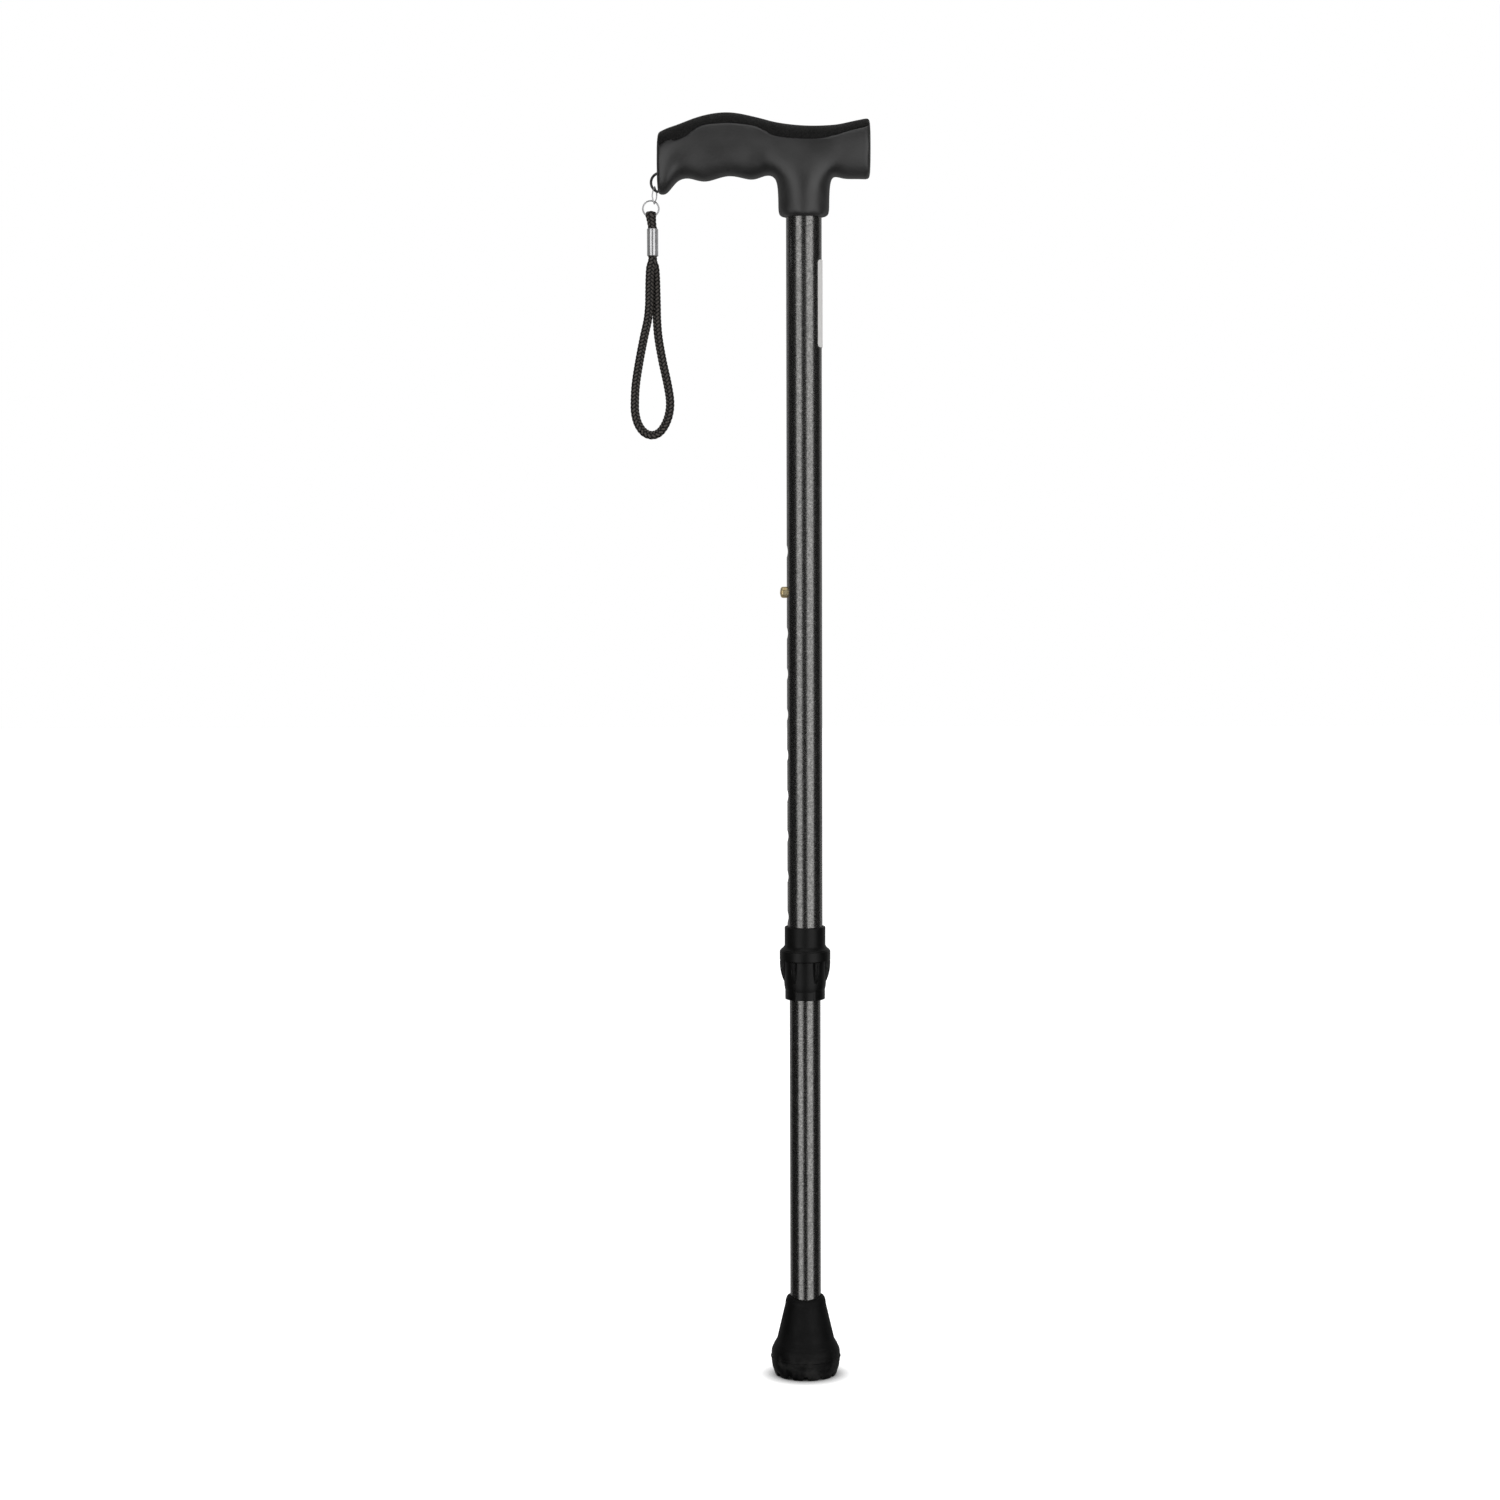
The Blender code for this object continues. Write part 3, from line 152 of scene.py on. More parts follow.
# %% Lines and circles
def through(keys, steps=12):
    """A smooth line through key points of any dimension.

    Between two keys the line is the cubic that leaves each key along the chord of its neighbours.
    """
    keys = np.asarray(keys, dtype=float)
    ends = np.vstack([2 * keys[0] - keys[1], keys, 2 * keys[-1] - keys[-2]])
    p0, p1, p2, p3 = (ends[k:len(ends) - 3 + k, None, :] for k in range(4))
    t = np.linspace(0.0, 1.0, steps, endpoint=False)[None, :, None]
    line = 0.5 * (2 * p1 + (p2 - p0) * t + (2 * p0 - 5 * p1 + 4 * p2 - p3) * t ** 2
                  + (3 * p1 - p0 - 3 * p2 + p3) * t ** 3)
    return np.vstack([line.reshape(-1, keys.shape[1]), keys[-1]])


def run_of(line):
    """The distance walked from the first point to each point of a line."""
    return np.concatenate([[0.0], np.cumsum(np.linalg.norm(np.diff(line[:, :3], axis=0), axis=1))])


def even(line, count):
    """The same line at evenly spaced points: each coordinate is read off at even distances walked."""
    run = run_of(line)
    marks = np.linspace(0.0, run[-1], count)
    return np.column_stack([np.interp(marks, run, line[:, k]) for k in range(line.shape[1])])


def circle(count):
    """Evenly spaced angles once round, in radians."""
    return np.linspace(0, 2 * pi, count, endpoint=False)


def grid_of(x, y, z):
    """A grid of points from its three coordinates, each spread over the rows and columns."""
    return np.stack(np.broadcast_arrays(x, y, z), axis=-1)


def unit(vectors):
    """The same directions, each one long."""
    return vectors / np.linalg.norm(vectors, axis=1, keepdims=True)


def fuller(wave, power):
    """A wave from -1 to 1 with its shoulders pushed out, for powers below one."""
    return np.sign(wave) * np.abs(wave) ** power


def bend(start, pull, end, steps):
    """A parabola from start to end, drawn towards pull: (1-t)^2 start + 2t(1-t) pull + t^2 end."""
    t = np.linspace(0.0, 1.0, steps + 1)[:, None]
    start, pull, end = (np.array(p, dtype=float) for p in (start, pull, end))
    return (1 - t) ** 2 * start + 2 * t * (1 - t) * pull + t ** 2 * end


print("line helpers ready")

# %% [markdown]
# ## The wrist cord
#
# The cord comes first, because its length is a fact: 249 mm from one end in the crimp sleeve round to
# the other. It hangs in a narrow drop. The route below is the centreline's own points, and the
# line through them is then set out in even steps.

# %% The cord's route
CORD_RADIUS = 0.0027
STRAND_OFFSET = 0.00285
STRAP_X = -0.093391
CRIMP_BOTTOM = 0.702301
CRIMP_TOP = 0.718801
STRAND_JOIN = 0.710551
STRAND_GAP = 0.0003
LOOP_POINTS = (
    (-0.0013, -0.0025, -0.0073), (-0.0018, -0.0022, -0.0143), (-0.0020, -0.0020, -0.0223),
    (-0.0022, -0.0018, -0.0303), (-0.0032, -0.0013, -0.0393), (-0.0057, -0.0008, -0.0503),
    (-0.0085, -0.0004, -0.0643), (-0.0108, 0.0, -0.0783), (-0.0115, 0.0, -0.0889),
    (-0.0113, 0.0, -0.0968), (-0.0094, 0.0, -0.1036), (-0.0057, 0.0, -0.1085),
    (-0.0010, 0.0, -0.1102), (0.0036, 0.0, -0.1085), (0.0073, 0.0, -0.1036),
    (0.0097, 0.0, -0.0968), (0.0103, 0.0, -0.0889), (0.0087, 0.0, -0.0783),
    (0.0057, 0.0004, -0.0643), (0.0033, 0.0008, -0.0503), (0.0024, 0.0013, -0.0393),
    (0.0022, 0.0018, -0.0303), (0.0020, 0.0020, -0.0223), (0.0018, 0.0022, -0.0143),
    (0.0013, 0.0025, -0.0073),
)
in_sleeve = (STRAND_JOIN - STRAND_GAP / 2 - CRIMP_BOTTOM, (CRIMP_TOP - CRIMP_BOTTOM) / 4, -CORD_RADIUS)
front = np.column_stack([np.zeros(3), np.full(3, -STRAND_OFFSET), in_sleeve])
back = front[::-1] * (1, -1, 1)
keys = np.vstack([front, LOOP_POINTS, back]) + (STRAP_X, 0.0, CRIMP_BOTTOM)
route = even(through(keys, steps=24), 1000)

# %% [markdown]
# ## A plait worked out, not drawn
#
# The cord is plaited from a dozen strands: half of them wind one way, half the other, and each passes
# over two and under two. A bump picture would look flat at the cord's edge, so the plait is real
# shape here: one formula gives the height at every point round and along the cord.

# %% The plait's formula
def plait(around, along, strands, pitch):
    """Height from about 0 to 1 of a plaited surface, at around (0 to 1) and along (metres).

    a and b count the strands of the two families, so a strand's middle is where its count is whole.
    Across a strand the height is a half circle. Along it, a cosine of the other family's count, cut
    off at one, carries it over two crossings and under two. The higher family is the one seen.
    """
    a = strands * around + along / pitch
    b = strands * around - along / pitch
    first, second = np.round(a), np.round(b)
    wave = np.clip(1.5 * cos(pi / 2 * (first + b) - pi / 4), -1, 1)
    other = np.clip(-1.5 * cos(pi / 2 * (a + second) - pi / 4), -1, 1)
    bulge = np.sqrt(np.clip(1 - (2 * (a - first)) ** 2, 0, 1))
    swell = np.sqrt(np.clip(1 - (2 * (b - second)) ** 2, 0, 1))
    return np.maximum(0.6 * bulge + 0.4 * wave, 0.6 * swell + 0.4 * other)


STRANDS = 6  # in each of the two directions
STRAND_PITCH = 0.0024
PLAIT_DEPTH = 0.00055


def plaited(name, centre, across, side, half_across, half_side):
    """A plaited cord: at each point of its centreline, an oval in the plane of across and side.

    The oval's radius is drawn in by the plait's depth where the plait is low.
    """
    share = np.linspace(0.0, 1.0, COLUMNS.cord + 1)
    run = run_of(centre)
    height = plait(share[None, :], run[:, None], STRANDS, STRAND_PITCH)
    turn = 2 * pi * share[None, :, None]
    low = (PLAIT_DEPTH * (1 - height))[:, :, None]
    grid = (centre[:, None, :] + across[:, None, :] * cos(turn) * (half_across[:, None, None] - low)
            + side[:, None, :] * sin(turn) * (half_side[:, None, None] - low))
    uv = np.stack(np.broadcast_arrays(share[None, :], run[:, None]), axis=-1)
    return surface(name, grid[:, :-1], uv=uv, lift=height[:, :-1])


print("plait:", 2 * STRANDS, "strands")

# %% Wind the wrist cord
tangent = unit(np.gradient(route, axis=0))
across = unit(np.array((0.0, 1.0, 0.0)) - tangent * tangent[:, 1:2])
full = np.full(len(route), CORD_RADIUS)
wrist_cord = plaited("wrist_cord", route, across, np.cross(tangent, across), full, full)
dress(wrist_cord, "strap", "strap_loop_cord", "black_cord")
print("wrist cord faces:", len(wrist_cord.data.polygons))

# %% [markdown]
# A short piece of the same cord goes over the steel ring in a fold that is pressed flat there. It is
# the same plait on a wider, thinner oval, and the oval's size is carried along the line with its place.

# %% Fold the eye over the ring
RING_WIRE_RADIUS = 0.0005
RING_WIRE = np.array((-0.094391, 0.0, 0.726301))
FOLD = Sizes(thin=0.0013, wide=0.0032, length=0.0075, gap=0.0003)
fold_bend = RING_WIRE_RADIUS + FOLD.gap + FOLD.thin * 1.2
shares = np.array(((1.0, 0.0), (0.8, 0.0), (0.55, 0.1), (0.3, 0.35), (0.1, 0.75)))
leg = np.column_stack([
    STRAP_X + (RING_WIRE[0] - STRAP_X) * (1 - shares[:, 0]),
    -(STRAND_OFFSET + (fold_bend - STRAND_OFFSET) * shares[:, 1]),
    RING_WIRE[2] - FOLD.length * shares[:, 0],
    np.full(5, pi),
    CORD_RADIUS + (FOLD.thin - CORD_RADIUS) * shares[:, 1],
    CORD_RADIUS + (FOLD.wide - CORD_RADIUS) * shares[:, 1],
])
start = np.array([[STRAP_X, -STRAND_OFFSET, STRAND_JOIN + STRAND_GAP / 2, pi, CORD_RADIUS, CORD_RADIUS]])
turn = np.linspace(pi, 0.0, 9)
arch = np.column_stack(np.broadcast_arrays(
    RING_WIRE[0], fold_bend * cos(turn), RING_WIRE[2] + fold_bend * sin(turn), turn,
    FOLD.thin, FOLD.wide))
mirror = np.vstack([start, leg])[::-1] * (1, -1, 1, 1, 1, 1) - (0, 0, 0, pi, 0, 0)
fold = even(through(np.vstack([start, leg, arch, mirror])), 220)
outward = np.column_stack([np.zeros(len(fold)), cos(fold[:, 3]), sin(fold[:, 3])])
sideways = np.tile((1.0, 0.0, 0.0), (len(fold), 1))
eye_fold = plaited("eye_fold", fold[:, :3], outward, sideways, fold[:, 4], fold[:, 5])
dress(eye_fold, "strap", "strap_eye_cord", "black_cord")
print("eye fold:", round(run_of(fold)[-1] * 1000, 1), "mm of cord over the ring")

# %% [markdown]
# ## Nodes, written shortly
#
# A material is a small graph. These helpers add a node with its settings and join two sockets, so
# that the graphs below read like a list of layers. A socket knows the graph that it belongs to.

# %% Node helpers
def node(tree, kind, **settings):
    made = tree.nodes.new(kind)
    for key, value in settings.items():
        if key in made.bl_rna.properties:
            setattr(made, key, value)
        else:
            made.inputs[key.replace("_", " ")].default_value = value
    return made


def join(source, target):
    source.id_data.links.new(source, target)


def fed(source, kind, **settings):
    """A node with its settings, and with the source joined to its first socket."""
    made = node(source.id_data, kind, **settings)
    join(source, made.inputs[0])
    return made


def maths(operation, first, second):
    made = node(first.id_data, "ShaderNodeMath", operation=operation)
    for socket, value in zip(made.inputs, (first, second)):
        if isinstance(value, bpy.types.NodeSocket):
            join(value, socket)
        else:
            socket.default_value = value
    return made.outputs[0]


def ramp(source, low, high, from_low=0.0, from_high=1.0):
    """A number read off a straight ramp, held at its ends."""
    return fed(source, "ShaderNodeMapRange", From_Min=from_low, From_Max=from_high, To_Min=low,
               To_Max=high).outputs[0]


def blend_colours(share, low, high):
    made = node(share.id_data, "ShaderNodeMix", data_type="RGBA")
    for socket, value in ((made.inputs[0], share), (made.inputs[6], low), (made.inputs[7], high)):
        if isinstance(value, bpy.types.NodeSocket):
            join(value, socket)
        else:
            socket.default_value = (*value, 1.0)
    return made.outputs[2]


print("node helpers ready")

# %% [markdown]
# ## White studio
#
# The cane stands in front of a white sheet. Camera rays see plain white. Reflections that leave the
# cane backwards see the sheet dimmed to a grey, so that its outer edges brighten only a little.
# Towards the camera the studio is dark, apart from two soft boxes: these draw the two pale stripes
# down the tubes.

# %% Background and ambient light
AMBIENT_FRONT = 0.22
AMBIENT_BEHIND = 0.95
STUDIO_DARK = 0.008
SHEET_SHEEN = 0.28
SHEET_EDGE = 0.35
world = bpy.data.worlds.new("studio")
bpy.context.scene.world = world
world.use_nodes = True
tree = world.node_tree
tree.nodes.clear()
path = node(tree, "ShaderNodeLightPath")
place = node(tree, "ShaderNodeTexCoord")
split = fed(place.outputs["Generated"], "ShaderNodeSeparateXYZ")
behind = ramp(split.outputs["Y"], 0.0, 1.0, SHEET_EDGE, SHEET_EDGE + 0.3)
mirrored = maths("MAXIMUM", path.outputs["Is Glossy Ray"], path.outputs["Is Transmission Ray"])
soft = ramp(split.outputs["Y"], AMBIENT_FRONT, AMBIENT_BEHIND, -0.2, 0.6)
sharp = ramp(behind, STUDIO_DARK, SHEET_SHEEN)
seen = node(tree, "ShaderNodeMix")
join(mirrored, seen.inputs[0])
join(soft, seen.inputs[2])
join(sharp, seen.inputs[3])
level = fed(path.outputs["Is Camera Ray"], "ShaderNodeMapRange", To_Max=1.0)
join(seen.outputs[0], level.inputs["To Min"])
light = node(tree, "ShaderNodeBackground", Color=(1, 1, 1, 1))
join(level.outputs[0], light.inputs["Strength"])
fed(light.outputs[0], "ShaderNodeOutputWorld")
print("ambient light:", AMBIENT_FRONT, "in front,", AMBIENT_BEHIND, "behind")

# %% Soft boxes
def soft_box(name, azimuth, wide, tall, radiance, distance=1.7, height=0.45):
    """A rectangle of light at an azimuth in degrees from the camera's side, facing the cane."""
    lamp = bpy.data.lights.new(name, "AREA")
    lamp.shape = "RECTANGLE"
    lamp.size = wide
    lamp.size_y = tall
    lamp.energy = radiance * pi * wide * tall
    made = placed(name, lamp)
    a = math.radians(azimuth)
    made.location = (distance * math.sin(a), -distance * math.cos(a), height)
    made.rotation_euler = (math.radians(90), 0, a)
    made.visible_camera = False
    return made


soft_box("left box", -33.5, 1.02, 2.6, 1.0)
soft_box("right box", 38, 1.35, 2.6, 1.0)
top_box = soft_box("top box", 0, 1.4, 1.4, 0.8, distance=0.3, height=2.3)
top_box.rotation_euler = (0, 0, 0)
print("two soft boxes in front, one above")

# %% [markdown]
# ## The floor
#
# The floor is white paper: a diffuse surface that takes the foot's shadow. A glow is added for camera
# rays alone, so the lit paper comes out white, as the sheet behind does. Ambient occlusion takes that
# glow away close to the foot, where the shadow lies. The paper isn't mirrored, so the two stripes run
# down the tube to the foot, as in the photograph.

# %% Lay the floor
FLOOR_SIZE = 12.0
PAPER_GLOW = 0.85
SHADOW_REACH = 0.013
SHADOW_DEPTH = 1.6
floor_mesh = bpy.data.meshes.new("floor")
far = FLOOR_SIZE / 2
floor_mesh.from_pydata([(-far, -far, 0), (far, -far, 0), (far, far, 0), (-far, far, 0)], [], [(0, 1, 2, 3)])
floor = placed("floor", floor_mesh)
floor.visible_glossy = False
paper = bpy.data.materials.new("white paper")
paper.use_nodes = True
tree = paper.node_tree
tree.nodes.clear()
path = node(tree, "ShaderNodeLightPath")
openness = node(tree, "ShaderNodeAmbientOcclusion", Distance=SHADOW_REACH, samples=8)
shadow = maths("POWER", openness.outputs["AO"], SHADOW_DEPTH)
diffuse = node(tree, "ShaderNodeBsdfDiffuse")
join(blend_colours(shadow, (0.3, 0.3, 0.3), (0.8, 0.8, 0.8)), diffuse.inputs["Color"])
glow = node(tree, "ShaderNodeEmission")
lit = maths("MULTIPLY", path.outputs["Is Camera Ray"], maths("MULTIPLY", shadow, PAPER_GLOW))
join(lit, glow.inputs["Strength"])
both = node(tree, "ShaderNodeAddShader")
join(diffuse.outputs[0], both.inputs[0])
join(glow.outputs[0], both.inputs[1])
fed(both.outputs[0], "ShaderNodeOutputMaterial")
floor_mesh.materials.append(paper)
print("floor:", FLOOR_SIZE, "m square")

# %% [markdown]
# ## Finishes
#
# Each finish starts from the same place: a shader whose fixed values are set on its own sockets, and
# the point on the piece in metres, so that a grain of one millimetre is a scale of a thousand.

# %% Start of a finish
def finish_of(name, **fixed):
    made = bpy.data.materials.new(name)
    made.use_nodes = True
    shader = made.node_tree.nodes["Principled BSDF"]
    for key, value in fixed.items():
        shader.inputs[key.replace("_", " ")].default_value = value
    return made, shader, node(made.node_tree, "ShaderNodeTexCoord").outputs["Object"]


def grain(place, size, detail=2.0, stretch=None):
    """Cloudy noise with features of about this size in metres, stretched per axis if asked."""
    if stretch is not None:
        place = fed(place, "ShaderNodeMapping", Scale=stretch).outputs[0]
    return fed(place, "ShaderNodeTexNoise", Scale=1.0 / size, Detail=detail).outputs["Fac"]


def cells(place, size, feature="F1", output="Distance"):
    return fed(place, "ShaderNodeTexVoronoi", feature=feature, Scale=1.0 / size).outputs[output]


def paint(shader, colour, roughness):
    """Joins the two sockets that every finish fills."""
    join(colour, shader.inputs["Base Color"])
    join(roughness, shader.inputs["Roughness"])


def relief(shader, heights):
    """Bumps the shader by each height between 0 and 1, which stands this many metres proud."""
    last = None
    for height, depth in heights:
        made = node(shader.id_data, "ShaderNodeBump", Distance=depth, Strength=1.0)
        join(height, made.inputs["Height"])
        if last is not None:
            join(last, made.inputs["Normal"])
        last = made.outputs[0]
    join(last, shader.inputs["Normal"])


print("finish helpers ready")

# %% [markdown]
# ### Graphite coating
#
# The tubes are coated with a baked paint full of metal flakes. It isn't smooth: it dries in tiny
# hills, about a millimetre apart, that break the two pale stripes into a sparkle. So there are two
# layers: flakes that are darker or lighter, and hills in the normal. Faint rubbing runs lengthwise.

# %% Coating of the tubes
graphite, shader, place = finish_of("graphite coating", Metallic=0.96, IOR=1.5, Coat_Weight=0.08,
                                    Coat_Roughness=0.2)
flake = fed(cells(place, 0.00045, output="Color"), "ShaderNodeSeparateColor")
clouds = grain(place, 0.0016, 3.0)
mixed = maths("MULTIPLY", flake.outputs[0], ramp(clouds, 0.4, 1.5, 0.3, 0.7))
tone = blend_colours(mixed, (0.17, 0.169, 0.165), (0.42, 0.415, 0.405))
rubbed = ramp(grain(place, 0.0008, 1.0, stretch=(1, 1, 0.02)), 0.0, 0.18, 0.62, 0.8)
paint(shader, blend_colours(rubbed, tone, (0.5, 0.5, 0.49)), ramp(flake.outputs[1], 0.17, 0.30))
hills = grain(place, 0.0011, 2.0)
relief(shader, ((hills, 0.000016), (grain(place, 0.0004, 1.0), 0.000005)))
print("finish:", graphite.name)

# %% [markdown]
# ### Black plastic, pad and rubber
#
# Three blacks differ mostly in their skin. The moulded plastic is satin, with a fine spark-eroded
# grain and a polish that isn't the same everywhere. Its copy for the handle is painted lighter than
# the collar's and the nut's: painted light. The pad is soft and leathery, with pebbles under a
# millimetre and painted shade in the creases between them. The foot's rubber is dull, and lighter
# round its base: grey dust, and a painted highlight on its bulge.

# %% Black plastic
def black_plastic(name, low, high, smooth, rough, bending):
    """Moulded plastic between two blacks, with a polish that wanders between smooth and rough."""
    made, shader, place = finish_of(name, IOR=bending)
    wide_clouds = ramp(grain(place, 0.018, 3.0), 0.0, 1.0, 0.35, 0.65)
    paint(shader, blend_colours(wide_clouds, (low,) * 3, (high,) * 3),
          maths("ADD", maths("MULTIPLY", wide_clouds, rough - smooth), smooth))
    scuffs = grain(place, 0.0012, 2.0, stretch=(0.15, 1, 1))
    relief(shader, ((grain(place, 0.00035, 2.0), 0.000012), (scuffs, 0.000012)))
    return made


# Painted light: the handle's copy of the black plastic is painted lighter than the collar's and the nut's,
# for the light that falls on the handle.
lit_handle_plastic = black_plastic("handle plastic painted lighter", 0.018, 0.030, 0.42, 0.52, 1.95)
plastic = black_plastic("black plastic", 0.003, 0.005, 0.36, 0.46, 1.42)
print("finishes:", lit_handle_plastic.name, plastic.name)

# %% Leathery pad
pad_skin, shader, place = finish_of("grained pad", IOR=1.3, Sheen_Weight=0.05, Sheen_Roughness=0.5)
pebbles = cells(place, 0.0009, feature="SMOOTH_F1")
creases = ramp(cells(place, 0.0009, feature="DISTANCE_TO_EDGE"), 0.0, 1.0, 0.0, 0.25)
# Painted shade: the creases between the pebbles are painted far darker than the pebbles.
paint(shader, blend_colours(creases, (0.0015, 0.0015, 0.0015), (0.016, 0.0155, 0.015)),
      ramp(grain(place, 0.012), 0.5, 0.68, 0.35, 0.65))
relief(shader, ((creases, 0.00016), (pebbles, 0.00012), (grain(place, 0.00025), 0.00002)))
print("finish:", pad_skin.name)

# %% Rubber of the foot
rubber, shader, place = finish_of("black rubber", IOR=1.4)
bloom = ramp(grain(place, 0.007, 4.0), 0.0, 1.0, 0.42, 0.75)
height = fed(place, "ShaderNodeSeparateXYZ").outputs["Z"]
# Lighter from the floor up to the bulge round the base: grey dust, and a painted highlight on the bulge.
dust_and_painted_highlight = maths("MULTIPLY", bloom, ramp(height, 1.3, 0.05, 0.010, 0.019))
paint(shader, blend_colours(dust_and_painted_highlight, (0.0020, 0.0020, 0.0021), (0.0290, 0.0284, 0.0277)),
      ramp(bloom, 0.55, 0.72))
relief(shader, ((grain(place, 0.0012, 3.0), 0.00004), (grain(place, 0.0003), 0.00002)))
print("finish:", rubber.name)

# %% [markdown]
# ### Metals, nylon, label and cord
#
# The ring, link and crimp sleeve are plated steel, bright with fine scratches. The snap button is
# brass, a little tarnished. The spring and the hidden parts are duller. The blank label is white
# film, very slightly warm. The cord's fibres run along each strand, so its finish reads the plait's
# own height and the cord's own measure. From the height, the low places between strands are
# painted near black: painted shade.

# %% Metals
def metal(name, low, high, rough, scratch=(1, 1, 0.05), bare=1.0):
    """Metal, bare or under lacquer: cloudy tarnish between two colours, and fine scratches one way."""
    made, shader, place = finish_of(name, Metallic=bare)
    tarnish = ramp(grain(place, 0.0025, 4.0), 0.0, 1.0, 0.35, 0.7)
    lines = grain(place, 0.0003, 2.0, stretch=scratch)
    paint(shader, blend_colours(tarnish, low, high), ramp(lines, rough * 0.7, rough * 1.5, 0.3, 0.7))
    relief(shader, ((lines, 0.0000015),))
    return made


steel = metal("plated steel", (0.78, 0.78, 0.79), (0.92, 0.92, 0.93), 0.12, bare=0.65)
spring_steel = metal("spring steel", (0.30, 0.30, 0.31), (0.46, 0.46, 0.47), 0.32)
brass = metal("brass", (0.90, 0.68, 0.32), (0.99, 0.86, 0.55), 0.28, scratch=(0.1, 1, 1), bare=0.7)
print("metals:", steel.name, spring_steel.name, brass.name)

# %% Nylon and label film
nylon, shader, place = finish_of("nylon", IOR=1.53, Subsurface_Weight=0.05)
paint(shader, blend_colours(grain(place, 0.004, 3.0), (0.62, 0.60, 0.55), (0.76, 0.74, 0.69)),
      ramp(grain(place, 0.0008), 0.35, 0.5))
relief(shader, ((grain(place, 0.0005), 0.00002),))

film, shader, place = finish_of("label film", IOR=1.45)
fibres = grain(place, 0.0006, 3.0, stretch=(1, 1, 0.4))
paint(shader, blend_colours(fibres, (0.93, 0.915, 0.895), (0.97, 0.96, 0.945)), ramp(fibres, 0.42, 0.6))
relief(shader, ((fibres, 0.00002),))
print("finishes:", nylon.name, film.name)

# %% Cord
cord_skin, shader, place = finish_of("black cord", IOR=1.5, Sheen_Weight=0.12, Sheen_Roughness=0.35)
lift = node(cord_skin.node_tree, "ShaderNodeAttribute", attribute_name="lift")
measure = node(cord_skin.node_tree, "ShaderNodeUVMap", uv_map="surface")
threads = grain(measure.outputs[0], 1.0, stretch=(220, 9000, 1))
# Painted shade: where the plait is low, between strands, the cord is painted near black; the fibre lines are
# its own.
valley_shade_and_fibres = maths("MULTIPLY", ramp(lift.outputs["Fac"], 0.0, 1.0, 0.72, 0.98), ramp(threads, 0.4, 1.4, 0.3, 0.7))
paint(shader, blend_colours(valley_shade_and_fibres, (0.0005,) * 3, (0.11, 0.096, 0.086)), ramp(threads, 0.5, 0.75))
relief(shader, ((threads, 0.00005),))
wrist_cord.data.materials.append(cord_skin)
eye_fold.data.materials.append(cord_skin)
print("finish:", cord_skin.name)

# %% [markdown]
# ## The steel hardware
#
# The link and the ring are bent wire: a round section carried along a closed line. Bevelled curves
# would do, but the same grid that made the cord also makes these, with a shallow nick where the
# wire's two ends meet. The crimp sleeve is a flat tube round both strands with its rims rolled in.

# %% Bent wire
def wire_loop(name, line, radius):
    """A closed wire: at each point, a circle in the plane square to the line's direction there.

    The circle narrows to a nick at one place, by a narrow bell curve of the distance from it.
    """
    along = unit(np.roll(line, -1, axis=0) - np.roll(line, 1, axis=0))
    flat = unit(np.cross(line - line.mean(axis=0), along))
    out = np.cross(along, flat)
    turn = circle(COLUMNS.wire)[None, :, None]
    steps = np.arange(len(line)) - len(line) * 0.35
    thin = radius * (1 - 0.35 * np.exp(-(steps / 1.2) ** 2))[:, None, None]
    grid = line[:, None, :] + thin * (cos(turn) * out[:, None, :] + sin(turn) * flat[:, None, :])
    return surface(name, grid, ring=True)


LINK_TOP = np.array((-0.091904, 0.0, 0.744676))
LINK_BOTTOM = np.array((-0.092269, 0.0, 0.734232))
LINK = Sizes(radius=0.0004, half_width=0.0030, twist=math.radians(24))
turn = circle(160)
up = cos(turn)
out = fuller(sin(turn), 0.8) * LINK.half_width
twist = LINK.twist * (1 - up * up)
line = ((LINK_TOP + LINK_BOTTOM) / 2 + np.outer(up, (LINK_TOP - LINK_BOTTOM) / 2)
        + np.column_stack([sin(twist) * out, cos(twist) * out, 0 * out]))
wire_link = wire_loop("wire_link", line, LINK.radius)
dress(wire_link, "link", "strap_link", "steel", steel)

RING_CENTRE = np.array((-0.094391, 0.0, 0.731201))
RING_RADIUS = 0.0054
turn = circle(200)
line = RING_CENTRE + (RING_RADIUS - RING_WIRE_RADIUS) * grid_of(cos(turn), 0 * turn, sin(turn))
wire_ring = wire_loop("wire_ring", line, RING_WIRE_RADIUS)
dress(wire_ring, "ring", "strap_ring", "steel", steel)
print("link and ring in place")

# %% Crimp sleeve
CRIMP = Sizes(wall=0.00045, inner=CORD_RADIUS + 0.0002)
turn = circle(COLUMNS.crimp) + pi / COLUMNS.crimp
side = np.where(sin(turn) > 0, STRAND_OFFSET, -STRAND_OFFSET)
roll = CRIMP.wall / 2
rim = np.linspace(-pi / 2, pi / 2, 9)
section = np.vstack([
    np.column_stack([roll + roll * sin(rim[::-1] * -1), CRIMP_TOP - roll + roll * cos(rim)]),
    np.column_stack([np.full(5, 2 * roll), np.linspace(CRIMP_TOP - 2 * roll, CRIMP_BOTTOM + 2 * roll, 5)]),
    np.column_stack([roll + roll * sin(rim[::-1]), CRIMP_BOTTOM + roll - roll * cos(rim)]),
])
reach = CRIMP.inner + section[:, :1]
grid = grid_of(STRAP_X + reach * cos(turn), side + reach * sin(turn), section[:, 1:])
crimp = surface("crimp", grid, ring=True)
dress(crimp, "strap", "crimp_sleeve", "steel", steel)
print("crimp sleeve:", round((CRIMP_TOP - CRIMP_BOTTOM) * 1000, 1), "mm long")

